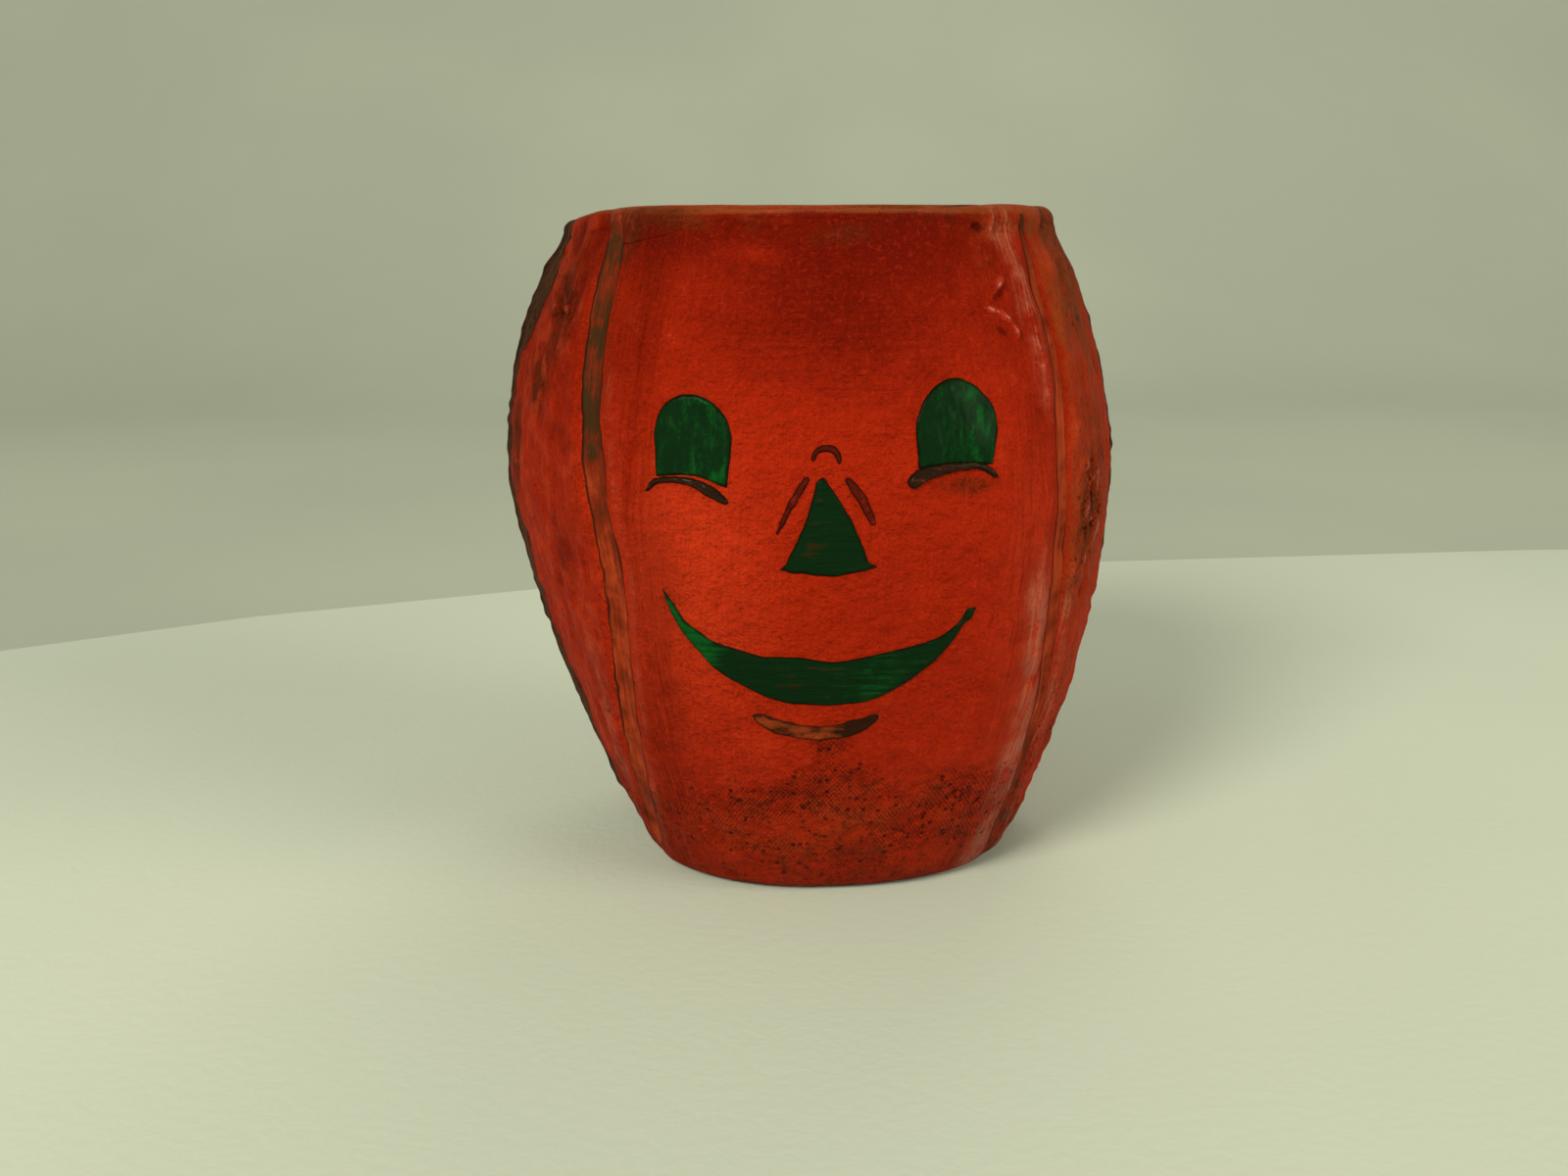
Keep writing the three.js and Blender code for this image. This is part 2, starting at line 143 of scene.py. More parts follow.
# %% The course of a groove
def smooth_course(angles):
    """A smooth curve through the angles at the groove stations."""
    slope = np.diff(angles) / np.diff(GROOVE_STATIONS)
    lean = np.concatenate([slope[:1], (slope[1:] + slope[:-1]) / 2, slope[-1:]])

    def at(z):
        share = np.asarray(z, float) / CUP_HEIGHT
        i = np.clip(np.searchsorted(GROOVE_STATIONS, share, "right") - 1, 0, len(angles) - 2)
        span = GROOVE_STATIONS[i + 1] - GROOVE_STATIONS[i]
        p = (share - GROOVE_STATIONS[i]) / span
        ends = angles[i] * (1 + 2 * p) * (1 - p) ** 2 + angles[i + 1] * p * p * (3 - 2 * p)
        return ends + span * (lean[i] * p * (1 - p) ** 2 + lean[i + 1] * p * p * (p - 1))

    return at


left_course, right_course = smooth_course(LEFT_GROOVE), smooth_course(RIGHT_GROOVE)


def groove_angle(z, left):
    return np.radians(np.where(left, left_course(z), right_course(z)))


print("left groove at the belly, degrees:", round(float(left_course(BELLY_HEIGHT)), 1))


# %% The radius of the cup
def body_radius(angle, z):
    left = np.sin(angle) < 0
    half_width = barrel(
        z,
        np.where(left, FOOT_HALF_LEFT, FOOT_HALF_RIGHT),
        BELLY_HALF[0],
        np.where(left, RIM_HALF_LEFT, RIM_HALF_RIGHT),
        np.where(left, LOWER_FULLNESS[0], LOWER_FULLNESS[1]),
        np.where(left, UPPER_FULLNESS[0], UPPER_FULLNESS[1]),
    )
    half_depth = barrel(
        z, FOOT_HALF_DEPTH, BELLY_HALF[1], RIM_HALF_DEPTH, LOWER_FULLNESS[2], UPPER_FULLNESS[2]
    )
    across = np.abs(np.sin(angle)) / half_width
    along = np.abs(np.cos(angle)) / half_depth
    return (across ** SQUARENESS + along ** SQUARENESS) ** (-1 / SQUARENESS)


def folded(angle):
    return np.arctan2(np.abs(np.sin(angle)), np.abs(np.cos(angle)))


def groove_offset(angle, z):
    """Millimetres from the nearest groove's middle, positive towards the joint."""
    return (folded(angle) - groove_angle(z, np.sin(angle) < 0)) * body_radius(angle, z)


def groove_share(angle, z):
    share = np.clip(1 - np.abs(groove_offset(angle, z)) / GROOVE_HALF_WIDTH, 0, None)
    foot = 0.35 + 0.65 * ease(z, 0, GROOVE_FADE)
    return share ** 1.5 * ease(RIM_CENTRE - z, 0, GROOVE_FADE) * foot


def panel_flattening(angle, z):
    groove = groove_angle(z, np.sin(angle) < 0)
    share = np.clip((folded(angle) - groove) / (math.pi / 2 - groove), 0, 1)
    depth = barrel(z, END_FLATTENING, BELLY_FLATTENING, END_FLATTENING, 2, 2)
    return depth * np.sin(math.pi * share)


def outer_radius(angle, z):
    relief = panel_flattening(angle, z) + GROOVE_DEPTH * groove_share(angle, z)
    return body_radius(angle, z) - relief


def inner_radius(angle, z):
    relief = panel_flattening(angle, z) + INNER_GROOVE_DEPTH * groove_share(angle, z)
    return body_radius(angle, z) - WALL - relief


def on_cup(angle, radius, z):
    """Points at an angle from the front, a radius and a height, with the left joint's sag."""
    sag = JOINT_SAG * np.clip(-np.sin(angle), 0, None) ** 10 * (z / CUP_HEIGHT) ** 8
    return np.stack([radius * np.sin(angle), -radius * np.cos(angle), z - sag], axis=-1)


print("front radius at the belly in mm:", round(float(outer_radius(0.0, BELLY_HEIGHT)), 2))

# %% [markdown]
# ## Hand-made unevenness
# Pressed pulp is never smooth. It has slow waves where it shrank, lumps where fibre
# gathered, dents and small craters. A bump map could fake that, but then the outline and
# the shadows would stay perfect, so the larger part is real shape here: a lattice noise
# for the waves, and a short list of hills and hollows where the photograph shows them.

# %% Waves, hills and hollows of the skin
LATTICE_SIDE = 32
LATTICE = np.random.default_rng(31).uniform(-1, 1, (LATTICE_SIDE,) * 3)


def pulp_noise(points, size):
    """Smooth noise from -1 to 1 whose lumps are about size millimetres across."""
    place = np.asarray(points) / size
    cell = np.floor(place).astype(int)
    part = place - cell
    part = part * part * (3 - 2 * part)
    total = 0
    for corner in np.ndindex(2, 2, 2):
        weight = np.prod(np.where(corner, part, 1 - part), axis=-1)
        i, j, k = np.moveaxis((cell + corner) % LATTICE_SIDE, -1, 0)
        total = total + weight * LATTICE[i, j, k]
    return total


# Angle, height, half length, half width, tilt and rise, in degrees and millimetres
HILLS = (
    (34.7, 59.5, 0.95, 0.45, 42, 0.5), (33.2, 58.7, 0.5, 0.3, 20, 0.25),
    (32.2, 57.3, 1.1, 0.34, -14, 0.4), (35, 56.6, 0.9, 0.36, -38, 0.52),
    (36.7, 55.4, 0.8, 0.36, -66, 0.5), (33.5, 61.6, 0.3, 0.3, 0, 0.26),
    (23.7, 61.3, 0.3, 0.3, 0, 0.24), (29, 60.2, 0.25, 0.25, 0, 0.16),
    (36.6, 64.6, 1, 0.4, 80, 0.34), (31.5, 64.4, 0.4, 0.3, 20, 0.2),
    (-66.5, 57.2, 0.8, 0.35, 20, 0.42), (-62.8, 57.6, 0.5, 0.3, -10, 0.36),
    (-59.2, 57, 0.6, 0.35, -55, 0.45), (-58.2, 55.8, 0.35, 0.3, 0, 0.34),
    (-70.5, 59, 0.9, 0.35, 80, 0.25), (-76, 62.3, 0.6, 0.5, 30, 0.3),
    (-60, 52.6, 2.6, 0.3, 82, 0.2), (-66, 48.8, 2.4, 0.3, 78, 0.2), (-58, 40, 3, 0.3, 55, 0.14),
    (53.4, 42.6, 0.8, 0.55, 60, 0.4), (61.4, 40.8, 2, 0.5, 86, 0.42),
    (54.2, 38.4, 1.3, 0.4, 80, 0.36), (62.5, 35.8, 1.9, 0.5, 95, 0.4),
    (55.4, 33.6, 1.3, 0.5, 62, 0.36), (60.8, 30.6, 1.8, 0.5, 100, 0.32),
    (57.6, 41.2, 0.5, 0.35, 20, 0.4), (57.4, 37.2, 0.6, 0.35, -25, 0.42),
    (59.4, 34.6, 0.5, 0.35, 30, 0.36), (57, 46.8, 2.2, 0.4, 70, 0.24), (62, 52, 2.4, 0.4, 98, 0.2),
    (56, 56.5, 1.6, 0.35, 92, 0.16), (-35.6, 40, 15, 0.3, 92, 0.16), (-33.4, 47, 9, 0.26, 88, 0.12),
    (-37.2, 24, 8, 0.3, 86, 0.12), (42, 24, 9, 0.45, 95, 0.24), (43, 50, 9, 0.5, 92, 0.16),
    (17, 26.4, 0.28, 0.28, 0, 0.22), (9, 30, 0.25, 0.25, 0, 0.2), (29, 30, 0.6, 0.25, 70, 0.22),
    (36, 38, 0.6, 0.25, 80, 0.2), (34.5, 33.5, 0.5, 0.22, 80, 0.18), (-28, 22, 3.5, 0.25, 78, 0.12),
    (30, 20, 3, 0.3, 100, 0.12),
)
HOLLOWS = (
    (34.2, 55.4, 1.1, 0.5, -42, 0.3), (34.9, 58.4, 0.7, 0.3, 30, 0.26),
    (33.6, 64.3, 0.85, 0.5, 0, 0.42), (-62.6, 56.8, 0.9, 0.38, 10, 0.5),
    (-66.8, 56.3, 0.6, 0.3, 0, 0.36), (-56.8, 56.3, 0.4, 0.25, 90, 0.3),
    (-61.4, 51.6, 2.4, 0.25, 82, 0.22), (-67.6, 47.6, 2.2, 0.28, 78, 0.22),
    (-59.4, 39.6, 2.8, 0.25, 55, 0.14), (55.6, 42.1, 0.6, 0.5, 90, 0.55),
    (59.4, 42.3, 0.7, 0.35, 60, 0.45), (58.8, 39.6, 0.9, 0.5, 78, 0.65),
    (55.8, 40.2, 0.6, 0.35, 110, 0.5), (59.8, 37.2, 0.9, 0.55, 100, 0.65),
    (56.6, 35.9, 0.8, 0.4, 75, 0.55), (61.2, 33.6, 0.9, 0.4, 85, 0.5),
    (57.8, 32.4, 0.8, 0.3, 95, 0.4), (58.6, 29.8, 0.9, 0.3, 90, 0.35),
    (65, 42.5, 1.2, 0.4, 75, 0.4), (66, 37.5, 1.2, 0.4, 100, 0.4), (67.5, 45.5, 1, 0.3, 80, 0.3),
    (79, 49.4, 1.4, 0.5, 90, 0.3), (63.5, 54.5, 1.2, 0.3, 90, 0.2), (56.4, 50.5, 1, 0.3, 84, 0.2),
    (20.5, 7.8, 2.4, 0.24, 33, 0.2), (25.5, 9.6, 1.6, 0.22, 38, 0.2),
    (30.5, 11.4, 0.5, 0.38, 30, 0.32), (38, 9.9, 0.5, 0.38, 60, 0.32), (33, 13, 0.4, 0.3, 0, 0.24),
    (12, 12.5, 0.4, 0.3, 20, 0.18), (-23.7, 9, 0.5, 0.35, 0, 0.24), (-5.5, 8.4, 0.45, 0.3, 0, 0.2),
    (-16, 12.5, 0.7, 0.25, 10, 0.16), (-48, 64, 0.35, 0.3, 0, 0.32),
    (-74, 63.6, 0.4, 0.35, 0, 0.35), (-22, 64.1, 0.25, 0.25, 0, 0.2),
)


def bumps(angle, z, spots):
    total = np.zeros(np.broadcast(angle, z).shape)
    for degrees, height, length, width, tilt, rise in spots:
        centre = math.radians(degrees)
        across = (angle - centre) * body_radius(centre, height)
        up = z - height
        turn = math.radians(tilt)
        far = (across * math.cos(turn) + up * math.sin(turn)) / length
        off = (up * math.cos(turn) - across * math.sin(turn)) / width
        total = np.maximum(total, rise * np.exp(-(far * far + off * off)))
    return total


def marks(angle, z):
    return bumps(angle, z, HILLS) - bumps(angle, z, HOLLOWS)


def foot_share(angle, z):
    """1 in the rough, gauze-marked band low on the front, 0 above it."""
    x = body_radius(angle, z) * np.sin(angle)
    edge = 15.5 - 0.016 * (x - 1) ** 2 + 2.5 * pulp_noise(on_cup(angle, 25 + 0 * z, z), 6)
    return ease(edge - z, -4.5, 4.0) * ease(np.cos(angle), 0.1, 0.6) * (0.55 + 0.45 * ease(z, 3, 6))


def panel_share(angle, z):
    """1 on the side panels, 0 on the face and the back."""
    return ease(groove_offset(angle, z), 1.0, 3.5)


def small_relief(angle, z, points):
    """Lumps and wrinkles a millimetre or two across: most on the panels, least on the face."""
    sideways = np.abs(np.sin(angle))
    busy = np.clip(0.35 + ease(sideways, 0.35, 0.6) + ease(z, 50, 60) + ease(z, 20, 14), 0, 1)
    lumps = busy * (0.12 * pulp_noise(points, 2.1) + 0.06 * pulp_noise(points + 60, 1.1))
    wrinkle = 0.5 - np.abs(pulp_noise(points * (1, 1, 0.6) + 20, 2.4))
    pinched = 1 - 0.65 * ease(sideways, 0.95, 0.99)
    panel = panel_share(angle, z) * pinched * (0.4 * wrinkle + 0.15 * pulp_noise(points, 1.1))
    return lumps + panel + 0.11 * foot_share(angle, z) * pulp_noise(points, 0.9)


def skin(angle, z):
    """The painted outer radius, with everything uneven on it."""
    angle, z = np.broadcast_arrays(angle, z)
    points = on_cup(angle, body_radius(angle, z), z)
    waves = 0.15 * (pulp_noise(points, 11) + pulp_noise(points, 4))
    uneven = waves + small_relief(angle, z, points)
    return outer_radius(angle, z) + ease(z, 0, 2) * uneven + marks(angle, z)


def inside_skin(angle, z):
    """The bare inner radius, a little lumpy where the mould didn't press it."""
    angle, z = np.broadcast_arrays(angle, z)
    points = on_cup(angle, inner_radius(angle, z), z)
    return inner_radius(angle, z) - 0.12 * pulp_noise(points, 2.2) * ease(z, 2, 5)


print("hills and hollows:", len(HILLS) + len(HOLLOWS))

# %% [markdown]
# ## One way to make a closed body
# Shells, strips and the disc are all rows of points that follow the cup, so one helper
# takes a stack of closed sections, joins each to the next and closes the ends. It also
# stores the painter's notes with the points: how dirty, pale or bare each place is. The
# finishes read these notes later, which keeps the pattern on the surface from any side.


# %% Turn stacked sections into a closed mesh
SHARP_EDGE = math.radians(55)


def new_piece(name, points, faces, finish, notes, flat_map):
    mesh = bpy.data.meshes.new(name)
    mesh.from_pydata((points * MM).tolist(), [], faces)
    mesh.validate()
    for note, values in notes.items():
        layer = mesh.attributes.new(note, "FLOAT", "POINT")
        layer.data.foreach_set("value", np.asarray(values, np.float32).ravel())
    corners = np.zeros(len(mesh.loops), np.int32)
    mesh.loops.foreach_get("vertex_index", corners)
    layer = mesh.uv_layers.new(name="brush_map")
    layer.data.foreach_set("uv", flat_map[corners].astype(np.float32).ravel())
    mesh.shade_smooth()
    mesh.set_sharp_from_angle(angle=SHARP_EDGE)
    mesh.materials.append(finish)
    return add_object(name, mesh)


def there_and_back(outer, inner):
    """Rows that run along the outer face and come back along the inner one."""
    return np.concatenate([outer, inner[:, ::-1]], axis=1)


def section_body(name, sections, finish, notes, flat_map, ring=False):
    """Joins sections (stack, points, 3) into a closed body, or into a closed ring."""
    stack, around, _ = sections.shape
    index = np.arange(stack * around).reshape(stack, around)
    here = index if ring else index[:-1]
    there = np.roll(index, -1, 0) if ring else index[1:]
    quads = np.stack([here, there, np.roll(there, -1, 1), np.roll(here, -1, 1)], -1).reshape(-1, 4)
    points = sections.reshape(-1, 3)
    a, b, c, d = (points[quads[:, i]] for i in range(4))
    inside_out = (a * (np.cross(b, c) + np.cross(c, d))).sum() < 0
    faces = (quads[:, ::-1] if inside_out else quads).tolist()
    if not ring:
        first, last = index[0].tolist(), index[-1].tolist()
        faces += [first[::-1], last] if inside_out else [first, last[::-1]]
    return new_piece(name, points, faces, finish, notes, flat_map.reshape(-1, 2))


def settle(piece, slot, *nodes):
    """Puts a finished piece in the place of its solids."""
    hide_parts(*nodes)
    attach(piece, "root")
    print(piece.name, "triangles:", sum(len(p.vertices) - 2 for p in piece.data.polygons))


# %% [markdown]
# ## Writing a finish
# A finish is a small web of nodes. Wired by hand it takes pages, so a thin wrapper lets
# the sums be written as sums: `a * 0.5 + b` adds the two Math nodes itself. Everything
# that isn't plain arithmetic comes from one method, `put`, which takes the node's type,
# its settings and its inputs.


# %% Sums written as sums
class Wire:
    """A value on its way through a node tree."""

    def __init__(self, sheet, socket):
        self.sheet, self.socket = sheet, socket

    def other(self, output):
        """Another output of the node that this value comes from."""
        return Wire(self.sheet, self.socket.node.outputs[output])

    def sum(self, operation, *others):
        values = dict(enumerate((self, *others)))
        return self.sheet.put("ShaderNodeMath", {"operation": operation}, values)

    def __add__(self, other):
        return self.sum("ADD", other)

    def __mul__(self, other):
        return self.sum("MULTIPLY", other)

    def __sub__(self, other):
        return self.sum("SUBTRACT", other)

    def __rsub__(self, other):
        return self * -1 + other

    def __pow__(self, other):
        return self.sum("POWER", other)

    __radd__, __rmul__ = __add__, __mul__


class Sheet:
    """A node tree that is being written."""

    def __init__(self, tree):
        self.tree = tree
        tree.nodes.clear()

    def put(self, kind, settings=None, inputs=None, out=0):
        node = self.tree.nodes.new(kind)
        for key, value in (settings or {}).items():
            if key == "stops":
                self.set_stops(node.color_ramp, value)
            else:
                setattr(node, key, value)
        for key, value in (inputs or {}).items():
            if isinstance(value, Wire):
                self.tree.links.new(value.socket, node.inputs[key])
            else:
                node.inputs[key].default_value = value
        return Wire(self, node.outputs[out] if node.outputs else None)

    @staticmethod
    def set_stops(ramp, stops):
        while len(ramp.elements) < len(stops):
            ramp.elements.new(1)
        for element, (place, colour) in zip(ramp.elements, stops):
            element.position, element.color = place, colour

    def note(self, name):
        return self.put("ShaderNodeAttribute", {"attribute_name": name}, out="Fac")

    def place(self):
        return self.put("ShaderNodeTexCoord", out="Object")

    def hairs(self, stretch):
        """Brush hairs: a noise on the flat map, stretched along the stroke."""
        brush = self.put("ShaderNodeUVMap", {"uv_map": "brush_map"})
        return self.noise(self.stretched(brush, stretch), 1.0, 6, 0.7) - 0.5

    def stretched(self, source, scale):
        """A vector scaled along each axis, so that a noise turns into strokes."""
        return self.put("ShaderNodeVectorMath", {"operation": "MULTIPLY"}, {0: source, 1: scale})

    def noise(self, vector, scale, detail=3.0, roughness=0.55):
        values = {"Vector": vector, "Scale": scale, "Detail": detail, "Roughness": roughness}
        return self.put("ShaderNodeTexNoise", {}, values)

    def mix(self, amount, under, over):
        """A plain number that goes from under to over as the amount rises."""
        return self.put("ShaderNodeMix", {}, {0: amount, 2: under, 3: over})

    def rise(self, value, low, high):
        """0 below low, 1 above high, and a soft step between."""
        values = {"Value": value, "From Min": low, "From Max": high}
        return self.put("ShaderNodeMapRange", {"interpolation_type": "SMOOTHSTEP"}, values)

    def dots(self, vector, scale, radius, share):
        """Small round dots in a share of the cells of a loose grid."""
        cells = {"Vector": vector, "Scale": scale}
        distance = self.put("ShaderNodeTexVoronoi", {}, cells, out="Distance")
        pick = self.put("ShaderNodeSeparateColor", {}, {0: distance.other("Color")})
        dot = 1 - self.rise(distance, radius * 0.5, radius)
        return dot * self.rise(pick, 1 - share, 1.02 - share)

    def ramp(self, value, stops):
        """A grey that follows named stops, pairs of place and value."""
        settings = {"stops": [(place, (grey, grey, grey, 1)) for place, grey in stops]}
        colour = self.put("ShaderNodeValToRGB", settings, {0: value})
        return self.put("ShaderNodeSeparateColor", {}, {0: colour})

    def blend(self, amount, under, over):
        """A colour that goes from under to over as the amount rises."""
        values = {0: amount, 6: under, 7: over}
        return self.put("ShaderNodeMix", {"data_type": "RGBA"}, values, out=2)

    def layers(self, colour, coats):
        """Lays coats of paint on a colour: pairs of how much and which."""
        for amount, coat in coats:
            colour = self.blend(amount, colour, coat)
        return colour


print("ways to write a finish:", [name for name in vars(Sheet) if not name.startswith("_")])


# %% Colours and the end of a finish
def paint(red, green, blue):
    """A screen colour, 0 to 255, as the linear colour of a shader."""
    shares = (v / 255 for v in (red, green, blue))
    return (*(v / 12.92 if v < 0.0404 else ((v + 0.055) / 1.055) ** 2.4 for v in shares), 1.0)


PAINT_SHINE = 0.03
GLAZE_ROUGHNESS = 0.16


def start_finish(name):
    material = bpy.data.materials.new(name)
    material.use_nodes = True
    return material, Sheet(material.node_tree)


def close_finish(sheet, base, roughness, bump_height, bump_distance, specular, glaze=0.0):
    bump = {"Strength": 1.0, "Distance": bump_distance * MM, "Height": bump_height}
    normal = sheet.put("ShaderNodeBump", {}, bump)
    values = {
        "Base Color": base, "Roughness": roughness, "Normal": normal, "Coat Weight": glaze,
        "Specular IOR Level": specular, "Coat Roughness": GLAZE_ROUGHNESS,
    }
    shader = sheet.put("ShaderNodeBsdfPrincipled", {}, values)
    sheet.put("ShaderNodeOutputMaterial", {}, {"Surface": shader})


print("sample colour:", [round(v, 3) for v in paint(170, 38, 13)])

# %% [markdown]
# ## Orange paint over pulp
# The cup was brushed with a red-orange tempera, thin at the forehead where a duller red
# shows through, thick on the cheeks, and toned with brown washes under the rim, on the
# side panels and low on the front. Some of the colour is painted light and shade: pale
# pink and grey streaks beside the grooves are painted sheen, the top of the rim has a
# painted tan highlight, the dull note also lightens and darkens places as the lamps
# would, and hills and crests are painted lighter and dents, cracks and pinholes darker,
# as highlight and shade. The finish starts from the painter's notes stored with the
# points and adds what is too fine for them: brush hairs, blotches, pinholes and the print
# of gauze. The scale of a noise is per metre, so 150 gives blotches of about 7 mm and 900
# one of 1 mm.

# %% Finish: orange paint
RED_ORANGE = paint(188, 40, 10)
DULL_RED = paint(122, 18, 3)
BRIGHT_ORANGE = paint(226, 60, 26)
BROWN_WASH = paint(104, 40, 15)
# Tan: a pale wash, and the painted highlight along the top of the rim
TAN_WASH_AND_RIM_HIGHLIGHT = paint(176, 82, 36)
SPECK_BROWN = paint(56, 18, 9)
# The next four are painted shade and highlight on the relief: shade in dents, cracks, pinholes and
# hollows, highlight on crests
DENT_SHADE_RED = paint(92, 16, 6)
HOLLOW_SHADE_RED = paint(112, 20, 5)
CREST_HIGHLIGHT_ORANGE = paint(238, 76, 38)
CRACK_AND_PIT_SHADE = paint(40, 8, 4)
# Painted sheen: pale pink and grey highlight streaks for the lamps' sheen on the satin paint
PINK_PAINTED_SHEEN = paint(246, 134, 104)
GREY_PAINTED_SHEEN = paint(170, 106, 90)
OLIVE_BROWN = paint(78, 58, 32)
OLIVE_EDGE = paint(26, 18, 9)
BARE_PULP = paint(186, 162, 124)
PULP_SHADE = paint(138, 110, 78)


def orange_finish(name):
    material, sheet = start_finish(name)
    note, rise, noise, place = sheet.note, sheet.rise, sheet.noise, sheet.place()
    stroke = sheet.mix(note("level_stroke"), sheet.hairs((300, 13, 1)), sheet.hairs((12, 240, 1)))
    streaky = stroke * (note("brushed") * 3.0 + 0.8)
    blotch = noise(place, 150, 5, 0.6) - 0.5
    patch = noise(place, 420, 5, 0.68) - 0.5
    mottle = noise(place, 900, 6, 0.74) - 0.5
    dust = noise(place, 1700, 3, 0.7) - 0.5
    grain = noise(place, 2600, 3, 0.65)
    rough = note("mottle")

    crinkle = 1 - rise((noise(place, 330, 8, 0.7) - 0.5).sum("ABSOLUTE"), 0.0, 0.016)
    crinkle = crinkle * rise(rough + blotch * 2, 0.3, 1.0)
    # Pinholes and pits: tiny holes whose dark colour is painted shade
    pinhole = sheet.dots(place, 650, 0.12, 0.12) * rise(rough + blotch * 2.5, 0.1, 0.5)
    pits = sheet.dots(place, 1350, 0.4, 0.4) * rise(rough + patch * 2 + blotch, 0.3, 1.0)
    pinhole = pinhole + pits
    brush = sheet.put("ShaderNodeUVMap", {"uv_map": "brush_map"})
    warp = sheet.put("ShaderNodeSeparateXYZ", {}, {0: sheet.stretched(brush, (1150, 1150, 1))})
    weft = warp.other(1)
    gauze = (warp + blotch * 9).sum("SINE") * (weft + patch * 5).sum("SINE")
    gauze = gauze * rise(rough + blotch, 0.55, 0.95) * 0.14
    speck = mottle * 0.8 + dust * 0.5 + rough * 0.2 + gauze + patch * 0.35 + blotch * 0.3
    speck = rise(speck, 0.14, 0.4)

    tone = note("dull") + streaky - patch * 0.4 + blotch * 0.4
    tan = note("tan") * (streaky + blotch * 1.3 + patch * 2 + 1)
    wash = note("wash") * (streaky + blotch + patch * 2 + 1) + patch * 0.4
    # Relief follows the small relief of the shape: its colour is painted shade in the hollows and
    # painted highlight on the crests
    relief = note("relief") + patch * 1.8 + mottle * 1.2 + streaky * 0.3
    # Painted sheen: highlight streaks beside the grooves, pink along the strokes and grey across
    # them
    bloom = note("bloom") * (stroke * 6 + patch * 3 + blotch * 2 + 0.8)
    grey = note("bloom") * (stroke * -6 + patch * 3 + 0.3)
    olive = note("olive") + streaky * 0.4 + blotch * 0.9 + mottle * 0.7
    line = sheet.blend(rise(mottle * 1.4 + olive * -0.9, -1.0, -0.5), OLIVE_BROWN, OLIVE_EDGE)
    # Lump and hollow mark the hills and dents: hills are painted lighter as highlight, dents and
    # cracks darker as shade
    lump = note("lump") * (patch * 2 + 1)
    hollow = note("hollow") + mottle * 0.5
    bare = rise(note("bare") + mottle * 0.4, 0.4, 0.6)
    pulp = sheet.blend(rise(noise(place, 420, 6, 0.7), 0.3, 0.7), BARE_PULP, PULP_SHADE)
    colour = sheet.layers(BRIGHT_ORANGE, (
        # The dull note is partly the paint's duller red and partly painted light and shade
        (rise(tone, -0.75, 0.25), RED_ORANGE),
        (rise(tone, 0.05, 1.15), DULL_RED),
        # Tan wash, with a painted highlight along the rim's top
        (rise(tan, 0.2, 1.0) * 0.85, TAN_WASH_AND_RIM_HIGHLIGHT),
        (rise(wash, 0.15, 1.1) * 0.9, BROWN_WASH),
        # Painted shade in the hollows of the relief and painted highlight on its crests
        (rise(relief * -1, 0.1, 1.1) * 0.45, HOLLOW_SHADE_RED),
        (rise(relief, 0.2, 1.2) * 0.5, CREST_HIGHLIGHT_ORANGE),
        (speck * 0.65, SPECK_BROWN),
        # Painted sheen, pink and grey
        (rise(bloom, 0.1, 1.2) * 0.65, PINK_PAINTED_SHEEN),
        (rise(grey, 0.3, 1.0) * 0.5, GREY_PAINTED_SHEEN),
        (rise(olive, 0.25, 0.6) * 0.93, line),
        (crinkle * 0.35, SPECK_BROWN),
        (rise(grain, 0.5, 0.8) * 0.35, DULL_RED),
        (rise(grain, 0.5, 0.25) * 0.28, BRIGHT_ORANGE),
        # Painted highlight on the hills, painted shade in dents, cracks and pinholes
        (rise(lump, 0.1, 0.4) * 0.6, BRIGHT_ORANGE),
        (rise(hollow, 0.1, 0.35) * 0.85, DENT_SHADE_RED),
        (rise(hollow, 0.35, 0.6), CRACK_AND_PIT_SHADE),
        (pinhole * 0.75, CRACK_AND_PIT_SHADE),
        (bare, pulp),
    ))

    roughness = grain * 0.3 + bare * 0.3 + 0.4
    height = streaky * 1.3 + patch * 3 + blotch * 3 + mottle * (rough * 1.3 + bare + 1.2)
    height = height + grain * 0.25 + gauze * 2 - crinkle * 0.3 - pinhole * 0.5 - speck * 0.15
    glaze = rise(lump, 0.16, 0.4) * 0.6 + rise(bloom, 0.3, 1.0) * 0.15
    glaze = glaze + rise(mottle * 2 + patch, 0.3, 0.6) * 0.08
    close_finish(sheet, colour, roughness, height, 0.8, PAINT_SHINE, glaze * (1 - bare))
    return material


orange_paint = orange_finish("orange_paint_on_pulp")
print("orange finish nodes:", len(orange_paint.node_tree.nodes))

# %% [markdown]
# ## The painter's notes
# Where is the wash, where the painted sheen? Each note is a soft mask on the cup: a list
# of soft round spots, bands beside the grooves and slow noise, so its edge looks brushed.
# Some notes carry painted light and shade: the sheen, the rim's tan highlight, part of the
# dull note, and the relief, hills and hollows.

